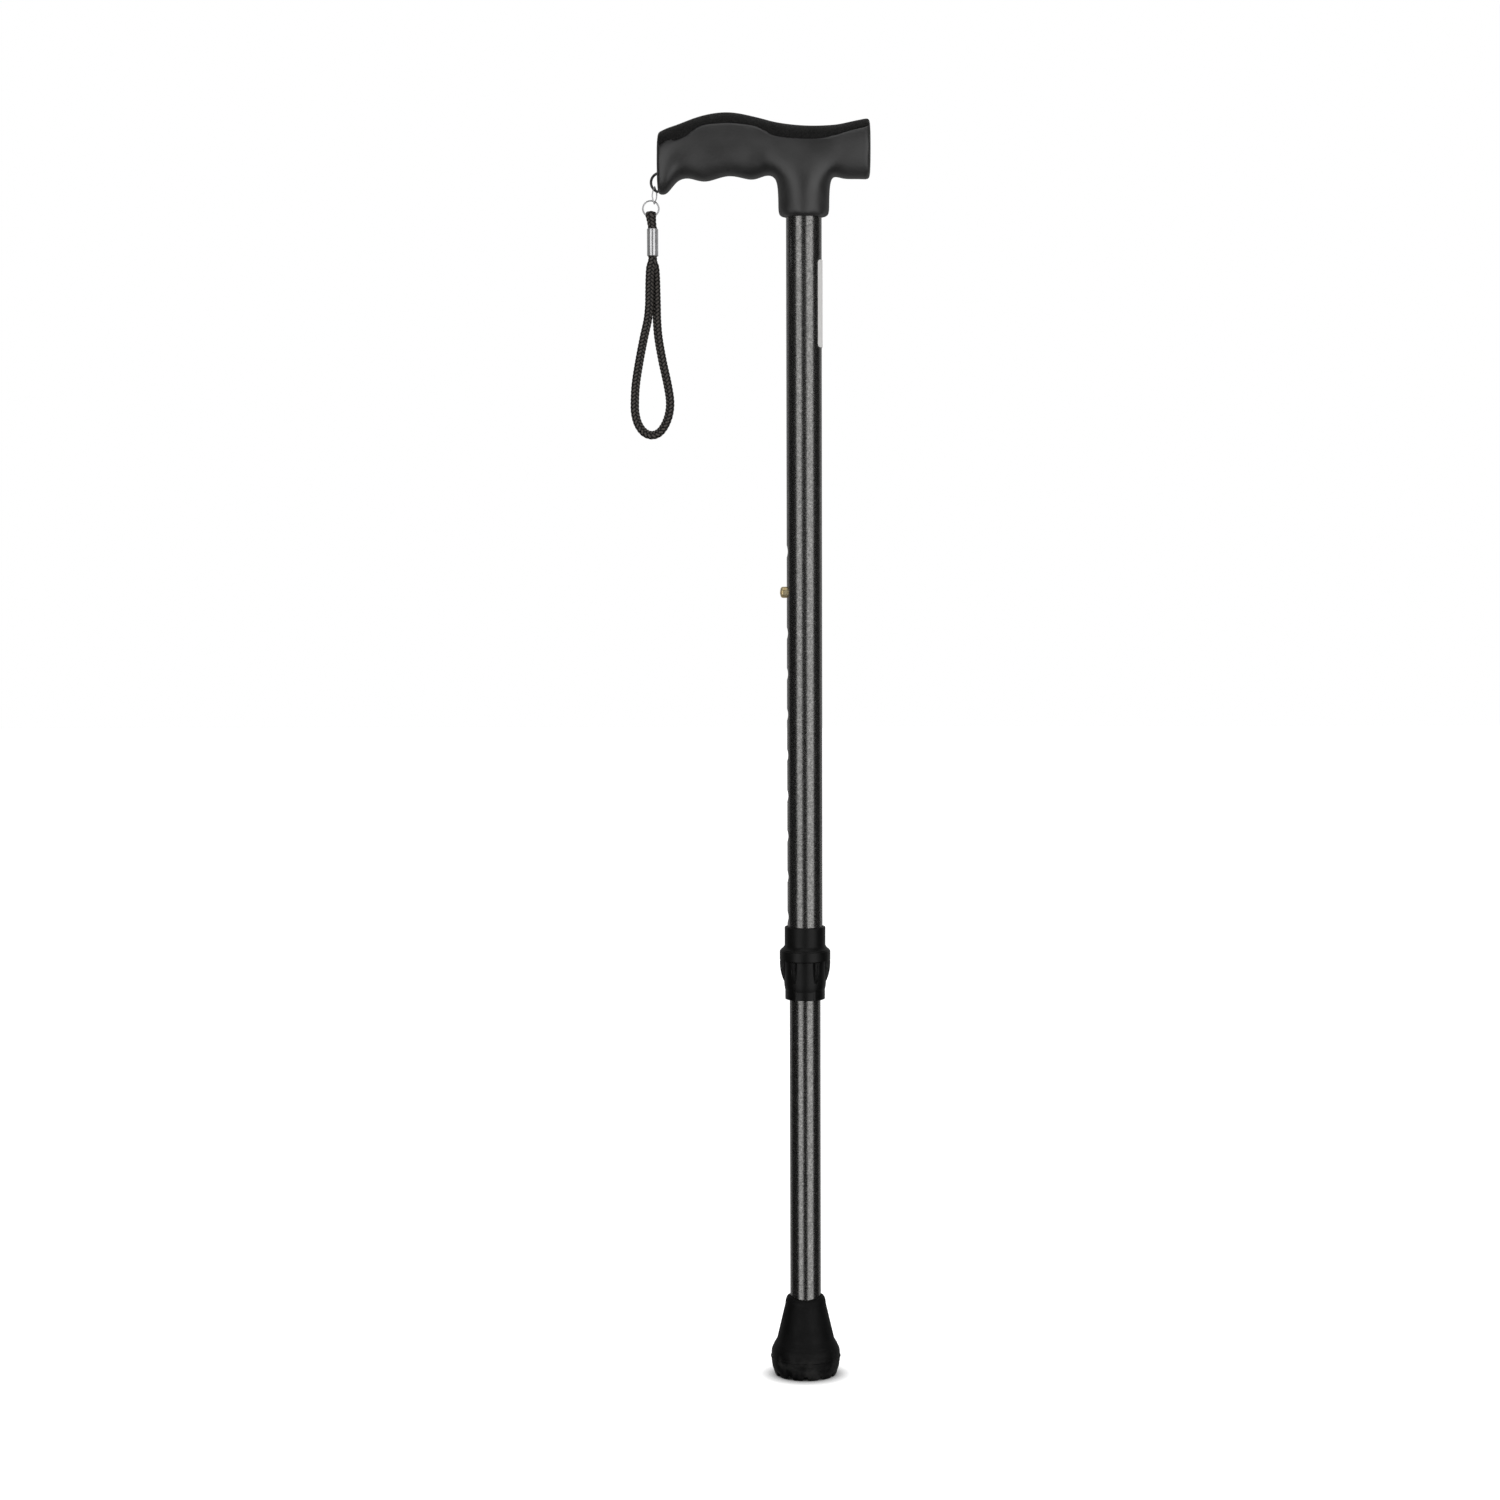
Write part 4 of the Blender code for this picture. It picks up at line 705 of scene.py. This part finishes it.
# %% [markdown]
# ## The rubber foot
#
# A ferrule is a shape turned on a lathe, with two departures: its rim dips in front and behind, and
# its tread is cut into blocks. A profile carried round the axis gives the first. For the dip and the
# tread, each point's height is then changed by a formula, which leaves the cut edges slightly soft,
# as moulded rubber has them.

# %% Turn a profile
def turned(profile, columns):
    """Radius and height at each step of a profile, carried round the axis in this many columns."""
    turn = circle(columns)
    radius, height = profile[:, 0:1], profile[:, 1:2]
    return grid_of(radius * cos(turn), radius * sin(turn), height)


def straight(start, end, steps):
    return np.linspace(start, end, steps + 1)


def soft_step(value, low, high):
    """0 below low, 1 above high, and an even S between them."""
    t = np.clip((value - low) / (high - low), 0, 1)
    return t * t * (3 - 2 * t)


LOWER_TUBE_RADIUS = 0.0097
FIT_GAP = 0.0003
RUNNING_BORE = LOWER_TUBE_RADIUS + FIT_GAP
FOOT = Sizes(height=0.0510, dip=0.0018, lip=0.0028, shoulder=0.0180, shoulder_height=0.0233,
             base=0.0218, base_height=0.0160, band=0.0088, step=0.0004, tread=0.0196, floor=0.0080,
             bead=0.0118, pole=0.0004)
TREAD = Sizes(blocks=12, depth=0.0024, groove=0.0032, ring_inside=0.0075, ring_outside=0.0105)
print("foot:", round(2000 * FOOT.base, 1), "mm across,", TREAD.blocks, "tread blocks")

# %% Foot profile
edge = FOOT.base - FOOT.tread
skin = FOOT.base - FOOT.step
cone_top = FOOT.height - 2 * FOOT.lip
lip_turn = np.linspace(0, math.radians(85), 12)[:, None]
bead_turn = np.linspace(-pi / 2, pi / 2, 9)[:, None]
bead = np.hstack([skin + 0.0003 + FOOT.step * cos(bead_turn), FOOT.bead + 0.0007 * sin(bead_turn)])
profile = np.vstack([
    straight((FOOT.pole, 0.0), (FOOT.tread - TREAD.depth / 3, 0.0), 60),
    straight((FOOT.tread - TREAD.depth / 4, 0.0001), (FOOT.tread, TREAD.depth / 2), 3),
    bend((FOOT.tread + edge * 0.35, TREAD.depth * 1.5), (skin, TREAD.depth * 2.5), (skin, FOOT.band), 12),
    straight((skin + 0.0002, FOOT.band + 0.0002), (skin + 0.0003, 0.0108), 3),
    bead,
    bend((FOOT.base - 0.0002, 0.0129), (FOOT.base + 0.0001, FOOT.base_height + edge / 3),
         (FOOT.shoulder + edge, FOOT.base_height + edge * 1.3), 14),
    bend((FOOT.shoulder + edge * 0.9, FOOT.base_height + edge * 1.7),
         (FOOT.shoulder + edge / 5, FOOT.shoulder_height - edge / 2),
         (FOOT.shoulder, FOOT.shoulder_height), 8),
    straight((FOOT.shoulder, FOOT.shoulder_height), (RUNNING_BORE + FOOT.lip, cone_top), 16)[1:-1],
    np.hstack([RUNNING_BORE + FOOT.lip * cos(lip_turn), cone_top + 2 * FOOT.lip * sin(lip_turn)]),
    straight((RUNNING_BORE, FOOT.height - FOOT.lip / 5), (RUNNING_BORE, FOOT.floor), 8),
    straight((RUNNING_BORE - 0.0002, FOOT.floor), (FOOT.pole, FOOT.floor), 3),
])
print("foot profile:", len(profile), "points")

# %% Shape the foot
ROWS_BELOW_BEAD = 90
CUT_SLOPE = 0.0003
grid = turned(profile, COLUMNS.foot)
x, y, z = grid[..., 0], grid[..., 1], grid[..., 2]
radius = np.hypot(x, y)
rim = FOOT.height - 3 * FOOT.lip
z -= FOOT.dip * np.clip((z - rim) / (FOOT.height - rim), 0, 1) * (y / radius) ** 2
sector = 2 * pi / TREAD.blocks
from_groove = np.abs((np.arctan2(y, x) + sector / 2) % sector - sector / 2) * radius
groove_cut = 1 - soft_step(from_groove, TREAD.groove / 2 - 0.0002, TREAD.groove / 2 + 0.0002)
past_land = soft_step(radius, TREAD.ring_inside, TREAD.ring_inside + CUT_SLOPE)
ring_cut = past_land * (1 - soft_step(radius, TREAD.ring_outside - CUT_SLOPE, TREAD.ring_outside))
lowest = TREAD.depth * np.maximum(groove_cut * past_land, ring_cut)
below_bead = np.arange(len(profile))[:, None] < ROWS_BELOW_BEAD
z[:] = np.where(below_bead, np.maximum(z, lowest), z)
foot = surface("foot", grid)
dress(foot, "lower", "rubber_foot", "black_rubber", rubber)
print("foot faces:", len(foot.data.polygons))

# %% [markdown]
# ## Collar sleeve and lock nut
#
# The sleeve is plainly turned. The nut's outside is one radius for each direction and height: the
# larger of its tapering body and of six grip ribs that run out downwards. Each rib carries two fine
# flutes, so that wet fingers still turn it.

# %% Collar sleeve
COLLAR = Sizes(top=0.2854, parting=0.2643, bore=0.0113, wall=0.0015, bevel=0.0008, flange=0.0159,
               rise=0.0063, flare=0.0097, spigot=0.0120, spigot_end=0.2513, shoulder=0.26619)
outside = COLLAR.bore + COLLAR.wall
half = COLLAR.bevel / 2
flange_top = COLLAR.parting + COLLAR.rise
profile = np.vstack([
    straight((COLLAR.bore, COLLAR.shoulder), (COLLAR.bore, COLLAR.top - half / 2), 4),
    bend((COLLAR.bore + half / 2, COLLAR.top), (outside, COLLAR.top),
         (outside, COLLAR.top - COLLAR.bevel), 6),
    straight((outside, COLLAR.top - 2 * half - 0.0002), (outside, COLLAR.parting + COLLAR.flare), 6),
    bend((outside, COLLAR.parting + COLLAR.flare - 0.0002), (outside + half, flange_top + 2 * COLLAR.bevel),
         (COLLAR.flange - 2 * half, flange_top + half), 12),
    bend((COLLAR.flange - 2 * half, flange_top), (COLLAR.flange, flange_top - half / 2),
         (COLLAR.flange, flange_top - 3 * half), 8),
    straight((COLLAR.flange, flange_top - 3.4 * half), (COLLAR.flange, COLLAR.parting + half), 4),
    bend((COLLAR.flange, COLLAR.parting + half / 2), (COLLAR.flange, COLLAR.parting),
         (COLLAR.flange - half / 2, COLLAR.parting), 4),
    straight((COLLAR.spigot, COLLAR.parting), (COLLAR.spigot, COLLAR.spigot_end), 4),
    straight((RUNNING_BORE, COLLAR.spigot_end), (RUNNING_BORE, COLLAR.shoulder), 4),
])
sleeve = surface("sleeve", turned(profile, COLUMNS.sleeve), ring=True)
dress(sleeve, "upper", "collar_sleeve", "black_plastic", plastic)
print("sleeve:", round(COLLAR.flange * 2000, 1), "mm across its flange")

# %% Lock nut
NUT = Sizes(top=0.2640, height=0.0244, wall=0.0011, end_wall=0.0014, cavity=0.0123, seat=0.2445,
            collet_edge=0.0005, collet_top=0.2510, ribs=6, rib_width=0.0046, rib_length=0.0148)
slope = NUT.wall / 4
skirt = NUT.cavity + NUT.wall
foot_radius = RUNNING_BORE + NUT.end_wall
bottom = NUT.top - NUT.height
waist = NUT.top - NUT.rib_length
body = np.vstack([
    straight((skirt - slope, NUT.top), (skirt, NUT.top - slope), 2),
    bend((skirt - slope, waist + slope), (skirt - 2 * slope, NUT.seat + NUT.end_wall),
         (foot_radius + slope, NUT.seat - NUT.end_wall), 20),
    bend((foot_radius, bottom + NUT.end_wall), (foot_radius, bottom),
         (foot_radius - NUT.end_wall * 0.7, bottom), 8),
])
body = even(np.column_stack([body[:, 0], body[:, 0] * 0, body[:, 1]]), 90)[:, (0, 2)]
inside = np.array([(RUNNING_BORE, bottom), (RUNNING_BORE, NUT.seat),
                   (RUNNING_BORE + NUT.collet_edge + FIT_GAP, NUT.seat),
                   (NUT.cavity, NUT.collet_top), (NUT.cavity, NUT.top)])
grid = turned(np.vstack([body, inside]), COLUMNS.nut)
sector = 2 * pi / NUT.ribs
turn = circle(COLUMNS.nut)
share = np.clip((NUT.top - body[:, 1:2]) / NUT.rib_length, 0, 1)
half_width = NUT.rib_width / 2 * (1 - 0.35 * share)
across = ((turn + sector / 2) % sector - sector / 2)[None, :] * COLLAR.flange / half_width
shape = np.sqrt(np.clip(1 - across ** 4, 0, 1)) - 0.10 * (0.5 - 0.5 * cos(3 * pi * across))
reach = (COLLAR.flange - 0.00005 - NUT.cavity) * (1 - 0.95 * share ** 2.4)
rib = NUT.cavity + reach * np.where(np.abs(across) < 1, shape, 0)
rib = np.where(body[:, 1:2] > NUT.top - 0.0003, rib - 0.0002, rib)
wider = np.maximum(rib / body[:, :1], 1.0)
grid[:len(body), :, :2] *= wider[:, :, None]
nut = surface("nut", grid, ring=True)
dress(nut, "nut", "lock_nut", "black_plastic", plastic)
print("nut faces:", len(nut.data.polygons))

# %% [markdown]
# ## The handle
#
# A moulded T has no single formula, because the grip and the neck flow into each other. So a coarse
# cage is worked out instead: rings of eight points along the grip, and two more rings for the neck
# that hangs from an opening in its underside. Subdivision then turns the cage into the smooth
# surface. A smooth ring shrinks inside its cage, so each size is first divided by that share.

# %% Sizes of the handle
GRIP_BASE = 0.7500
NOSE_REACH = 0.0904
HEEL_REACH = 0.0411
NECK_RADIUS = 0.0157
NECK_BOTTOM = GRIP_BASE - 0.0249
SQUARENESS = 0.78
NECK_FILLET = 0.0070
RIM_CREASE = 0.33
NOSE = np.array((
    (1.000, 0.0272, -0.0094, 0.0118), (0.935, 0.0301, -0.0094, 0.0134), (0.868, 0.0323, -0.0025, 0.0140),
    (0.774, 0.0354, -0.0006, 0.0145), (0.669, 0.0384, -0.0022, 0.0149), (0.509, 0.0397, 0.0009, 0.0150),
    (0.354, 0.0376, -0.0012, 0.0151), (0.266, 0.0354, 0.0008, 0.0152)))
HEEL = np.array((
    (0.584, 0.0327, -0.0008, 0.0150), (0.779, 0.0344, -0.0012, 0.0146), (1.000, 0.0361, -0.0015, 0.0138)))
NECK_CREST = (0.0333, 0.0315, 0.0316)
ring_share = (4 + 2 * SQUARENESS) / 6
neck_cage = NECK_RADIUS / ((4 + 2 * math.cos(pi / 4)) / 6)
middle = np.column_stack([(-neck_cage, 0.0, neck_cage), NECK_CREST, np.full(3, NECK_FILLET / 7),
                          np.full(3, NECK_RADIUS)])
stations = np.vstack([NOSE * (-NOSE_REACH, 1, 1, 1), middle, HEEL * (HEEL_REACH, 1, 1, 1)])
stations[:, 1:3] += GRIP_BASE
print("grip stations:", len(stations))

# %% The handle's cage
def cage_through(values):
    """Cage values whose cubic B-spline passes through the given ones, by solving (1, 4, 1) / 6 rows."""
    count = len(values)
    weights = np.eye(count) * 4 / 6 + np.eye(count, k=1) / 6 + np.eye(count, k=-1) / 6
    weights[0] = np.eye(count)[0]
    weights[-1] = np.eye(count)[-1]
    return np.linalg.solve(weights, values)


def wall_faces(index):
    """The quads between each row of a closed ring of points and the next row."""
    near, far = index[:-1], index[1:]
    return np.stack([near, np.roll(near, -1, axis=1), np.roll(far, -1, axis=1), far], axis=-1)


def handle_volume(name, levels):
    """The whole T as one closed, subdivided body: each station gives a ring's middle, rise and reach."""
    top, low, wide = (cage_through(stations[:, k]) for k in (1, 2, 3))
    d = SQUARENESS
    shape = np.array(((0, 1), (d, d), (1, 0), (d, -d), (0, -1), (-d, -d), (-1, 0), (-d, d)), dtype=float)
    rings = np.empty((len(stations), 8, 3))
    rings[..., 0] = stations[:, :1]
    rings[..., 1] = (wide / ring_share)[:, None] * shape[:, 0]
    rings[..., 2] = ((top + low) / 2)[:, None] + ((top - low) / 2 / ring_share)[:, None] * shape[:, 1]
    first = len(NOSE)
    rings[first:first + 3, 3, 1] = neck_cage * np.array((0.8, 1.0, 0.8))
    rings[first:first + 3, 5, 1] = -rings[first:first + 3, 3, 1]
    index = np.arange(rings.shape[0] * 8).reshape(-1, 8)
    quads = wall_faces(index)
    keep = np.ones(quads.shape[:2], dtype=bool)
    keep[first:first + 2, 3:5] = False
    opening = index[first + np.array((0, 0, 1, 2, 2, 2, 1, 0)), np.array((4, 3, 3, 3, 4, 5, 5, 5))]
    a = np.radians((180, 135, 90, 45, 0, -45, -90, -135))
    levels_down = np.array((GRIP_BASE - NECK_FILLET, NECK_BOTTOM))[:, None]
    neck = grid_of(cos(a) * neck_cage, sin(a) * neck_cage, levels_down)
    below = index.size + np.arange(16).reshape(2, 8)
    tube = wall_faces(np.vstack([opening[None], below]))
    ends = [index[0], index[-1], below[1]]
    used = np.delete(np.arange(index.size + 16), index[first + 1, 4])
    place = np.zeros(index.size + 16, dtype=int)
    place[used] = np.arange(len(used))
    points = np.vstack([rings.reshape(-1, 3), neck.reshape(-1, 3)])[used]
    faces = place[np.vstack([quads[keep], tube.reshape(-1, 4)])].tolist()
    faces += [place[end].tolist() for end in ends]
    mesh = bpy.data.meshes.new(name)
    mesh.from_pydata(points.tolist(), [], faces)
    pairs = np.array([edge.vertices[:] for edge in mesh.edges])
    rim = np.zeros(len(mesh.edges), dtype=np.float32)
    for end in ends:
        rim[np.isin(pairs, place[end]).all(axis=1)] = RIM_CREASE
    mesh.attributes.new("crease_edge", "FLOAT", "EDGE").data.foreach_set("value", rim)
    made = placed(name, mesh)
    outwards(mesh)
    mesh.shade_smooth()
    rounding = made.modifiers.new("Rounding", "SUBSURF")
    rounding.levels = rounding.render_levels = levels
    return made


def outwards(mesh):
    """Turns a closed mesh's faces outwards."""
    bm = bmesh.new()
    bm.from_mesh(mesh)
    bmesh.ops.recalc_face_normals(bm, faces=bm.faces)
    bm.to_mesh(mesh)
    bm.free()


print("cage ready")

# %% [markdown]
# The pad is let into the top. Its underside is a sheet that is domed along the grip, and everything
# of the T above that sheet is pad. The same space, a little deeper, is cut out of the handle, which
# leaves the fine dark joint between the two.

# %% Cut the pad out of the handle
PAD = Sizes(thickness=0.0026, nose=0.0114, heel=0.0086, joint=0.0005, edge=0.95)


def pad_space(name, lowered):
    """The space above the pad's underside: across the grip its height is a flattened dome.

    Height is crest - depth + (depth - thickness) * (1 - share^2.4)^0.7. The share is 1 at PAD.edge of
    the way from the middle to a side.
    """
    line = through(stations[:, (0, 1, 3)], steps=24)
    x = np.linspace(-NOSE_REACH * 1.05, HEEL_REACH * 1.1, 73)
    y = np.linspace(-1.5, 1.5, 61)
    crest, half = np.interp(x, line[:, 0], line[:, 1]), np.interp(x, line[:, 0], line[:, 2])
    depth = np.interp(x, (-NOSE_REACH, HEEL_REACH), (PAD.nose, PAD.heel))[:, None]
    dome = (1 - np.clip(np.abs(y) / PAD.edge, 0, 1) ** 2.4) ** 0.7
    low = crest[:, None] - depth + (depth - PAD.thickness) * dome - lowered
    roof = np.full((len(x), 2), crest.max() + 0.02)
    height = np.hstack([low, roof])
    side = half[:, None] * np.append(y, (y[-1], y[0]))
    return surface(name, grid_of(x[:, None], side, height), smooth=False)


def cut(target, cutter, operation="DIFFERENCE"):
    """Applies the target's modifiers together with this cut, and removes the cutter."""
    made = target.modifiers.new("Cut", "BOOLEAN")
    made.object = cutter
    made.operation = operation
    made.solver = "EXACT"
    graph = bpy.context.evaluated_depsgraph_get()
    graph.update()
    mesh = bpy.data.meshes.new_from_object(target.evaluated_get(graph))
    target.modifiers.clear()
    target.data = mesh
    bpy.data.objects.remove(cutter, do_unlink=True)
    return target


LEVELS = 4
SOCKET = Sizes(radius=0.0113, below=0.005, above=0.0435)
grip = handle_volume("grip", LEVELS)
cut(grip, pad_space("space for the pad", PAD.joint))
bore = np.array(((SOCKET.radius, NECK_BOTTOM - SOCKET.below), (SOCKET.radius, NECK_BOTTOM + SOCKET.above)))
cut(grip, surface("socket", turned(bore, COLUMNS.socket), smooth=False))
pad = cut(handle_volume("pad", LEVELS), pad_space("space of the pad", 0.0), "INTERSECT")
for piece, replaced, slot, stuff in ((grip, "handle", "black_plastic", lit_handle_plastic),
                                     (pad, "grip_pad", "grained_pad", pad_skin)):
    piece.data.shade_smooth()
    piece.data.set_sharp_from_angle(angle=SHARP)
    piece.data.materials.clear()
    dress(piece, "upper", replaced, slot, stuff)
    print(piece.name, "faces:", len(piece.data.polygons))

# %% [markdown]
# The lug is a half ring moulded onto the nose. It is a flat oval carried round part of a circle, and
# its two ends are sunk in the handle.

# %% Strap lug
LUG = Sizes(radius=0.0067, stand_out=0.0046, thickness=0.0016, width=0.0024, start=95, end=256,
            centre_z=GRIP_BASE - 0.0094 + 0.0066)
turn = np.radians(np.linspace(LUG.start, LUG.end, 72))[:, None]
round_it = circle(COLUMNS.lug)[None, :]
out = LUG.radius - LUG.thickness / 2 + LUG.thickness / 2 * fuller(cos(round_it), 0.7)
sideways = LUG.width / 2 * fuller(sin(round_it), 0.7)
lug_x = LUG.radius - NOSE_REACH - LUG.stand_out
lug = surface("lug", grid_of(lug_x + out * cos(turn), sideways, LUG.centre_z + out * sin(turn)))
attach(lug, "upper")
lug.data.materials.append(lit_handle_plastic)
print("lug:", len(lug.data.polygons), "faces")

# %% [markdown]
# ## The snap button
#
# Pressed brass: a cup with a rounded rim and a nearly flat top, turned about a line across the tube.

# %% Snap button
BUTTON = Sizes(height=0.4945, radius=0.0035, flange=0.0007, flange_thickness=0.0008, round=0.0016)
box = np.array(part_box("snap_button"))
face, inner_face = box[0][0], box[1][0]
rim_turn = np.linspace(0, pi / 2, 14)[:, None]
corner = np.hstack([BUTTON.radius - BUTTON.round + BUTTON.round * sin(rim_turn),
                    face + 0.0003 + BUTTON.round * (1 - cos(rim_turn))])
crown = bend((0.0002, face), ((BUTTON.radius - BUTTON.round) * 0.6, face),
             (BUTTON.radius - BUTTON.round - 0.0001, face + 0.00028), 8)
flange_face = inner_face - BUTTON.flange_thickness
skirt_line = straight((BUTTON.radius, face + 0.0003 + BUTTON.round + 0.0002), (BUTTON.radius, flange_face), 4)
wide = BUTTON.radius + BUTTON.flange
flange_line = np.array(((wide, flange_face), (wide, inner_face), (0.0002, inner_face)))
profile = np.vstack([crown, corner, skirt_line, flange_line])
turn = circle(COLUMNS.button)
button = surface("button", grid_of(profile[:, 1:], profile[:, :1] * cos(turn),
                                   BUTTON.height + profile[:, :1] * sin(turn)))
dress(button, "button", "snap_button", "brass", brass)
print("button stands out", round((-face - 0.011) * 1000, 2), "mm")

# %% [markdown]
# ## The tubes and the size label
#
# A tube is a thin ring section carried round the axis. The upper one is drilled ten times on the
# nose side, an inch apart, and the lower one once, where the button sits. Drilling leaves long faces
# between the holes, so their normals are worked out: on the walls they point straight away from the
# axis, or straight to it, and everywhere else they are those of the faces. The blank label is bent
# round the heel side.

# %% Drill the tubes
TUBES = {"upper_tube": (0.0110, 0.0010), "lower_tube": (LOWER_TUBE_RADIUS, 0.0012)}
HOLES = Sizes(pitch=0.0254, count=10, above=1, radius=0.0038)
EDGE_ROUND = 0.00015
WALL_FACING = 0.97


def straight_out(mesh):
    """Walls get the direction away from the axis, or to it, and other faces keep their own."""
    corner = np.empty(len(mesh.loops), dtype=np.int32)
    mesh.loops.foreach_get("vertex_index", corner)
    place = np.empty((len(mesh.vertices), 3))
    mesh.vertices.foreach_get("co", place.ravel())
    flat = np.empty((len(mesh.polygons), 3))
    mesh.polygons.foreach_get("normal", flat.ravel())
    corners = np.empty(len(mesh.polygons), dtype=np.int32)
    mesh.polygons.foreach_get("loop_total", corners)
    normal = np.repeat(flat, corners, axis=0)
    out = unit(place[corner] * (1, 1, 0))
    facing = (out * normal).sum(axis=1)[:, None]
    mesh.shade_smooth()
    smoothed = np.where(np.abs(facing) > WALL_FACING, np.sign(facing) * out, normal)
    mesh.normals_split_custom_set(smoothed.tolist())


def drilled(name, replaced, heights):
    """A tube between the ends of the frame's own, with a hole at each height on the nose side."""
    outer, wall = TUBES[replaced]
    (_, _, bottom), (_, _, top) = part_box(replaced)
    profile = np.array(((outer - EDGE_ROUND, bottom), (outer, bottom + EDGE_ROUND), (outer, top - EDGE_ROUND),
                        (outer - EDGE_ROUND, top), (outer - wall, top), (outer - wall, bottom)))
    made = surface(name, turned(profile, COLUMNS.tube), ring=True, smooth=False)
    turn = circle(COLUMNS.drill)
    for height in heights:
        bar = grid_of(np.array([[-outer * 1.4], [-outer / 2]]), HOLES.radius * cos(turn),
                      height + HOLES.radius * sin(turn))
        cut(made, surface("drill", bar, smooth=False))
    straight_out(made.data)
    return made


in_use = BUTTON.height
every_hole = in_use + HOLES.pitch * (HOLES.above - np.arange(HOLES.count))
upper_shaft = drilled("upper_shaft", "upper_tube", every_hole)
lower_shaft = drilled("lower_shaft", "lower_tube", [in_use])
for shaft, replaced, body in ((upper_shaft, "upper_tube", "upper"), (lower_shaft, "lower_tube", "lower")):
    dress(shaft, body, replaced, "graphite_coating", graphite)
    print(shaft.name, "faces:", len(shaft.data.polygons))

# %% Size label
LABEL = Sizes(angle=80, thickness=0.0003, corner=0.0020)
(_, _, label_low), (label_face, _, label_high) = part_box("size_label")
reach = label_face - LABEL.thickness * np.array((1, 0, 0, 1))
half = math.radians(LABEL.angle / 2)
turn = np.linspace(-half, half, COLUMNS.label)[:, None]
past = np.clip(np.abs(turn) * reach[0] - half * reach[0] + LABEL.corner, 0, LABEL.corner)
drop = LABEL.corner - np.sqrt(LABEL.corner ** 2 - past ** 2)
low, high = label_low + drop, label_high - drop
ends = np.hstack([low, low, high, high])
label = surface("label", grid_of(reach * cos(turn), reach * sin(turn), ends))
dress(label, "upper", "size_label", "paper", film)
print("label:", round((label_high - label_low) * 1000, 1), "mm high")

# %% [markdown]
# ## Dress the pieces of the frame
#
# The hidden parts keep their own shape. Each is given its finish by name.

# %% Finishes by piece
FINISHES = {
    "collet": nylon, "tube_bush": nylon, "tube_plug": nylon,
    "snap_spring": spring_steel, "foot_washer": spring_steel, "handle_screw": steel,
}
for name, stuff in FINISHES.items():
    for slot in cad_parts[name].material_slots:
        slot.material = stuff
finer = set(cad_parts) - set(FINISHES)
print("replaced by finer pieces:", sorted(finer))
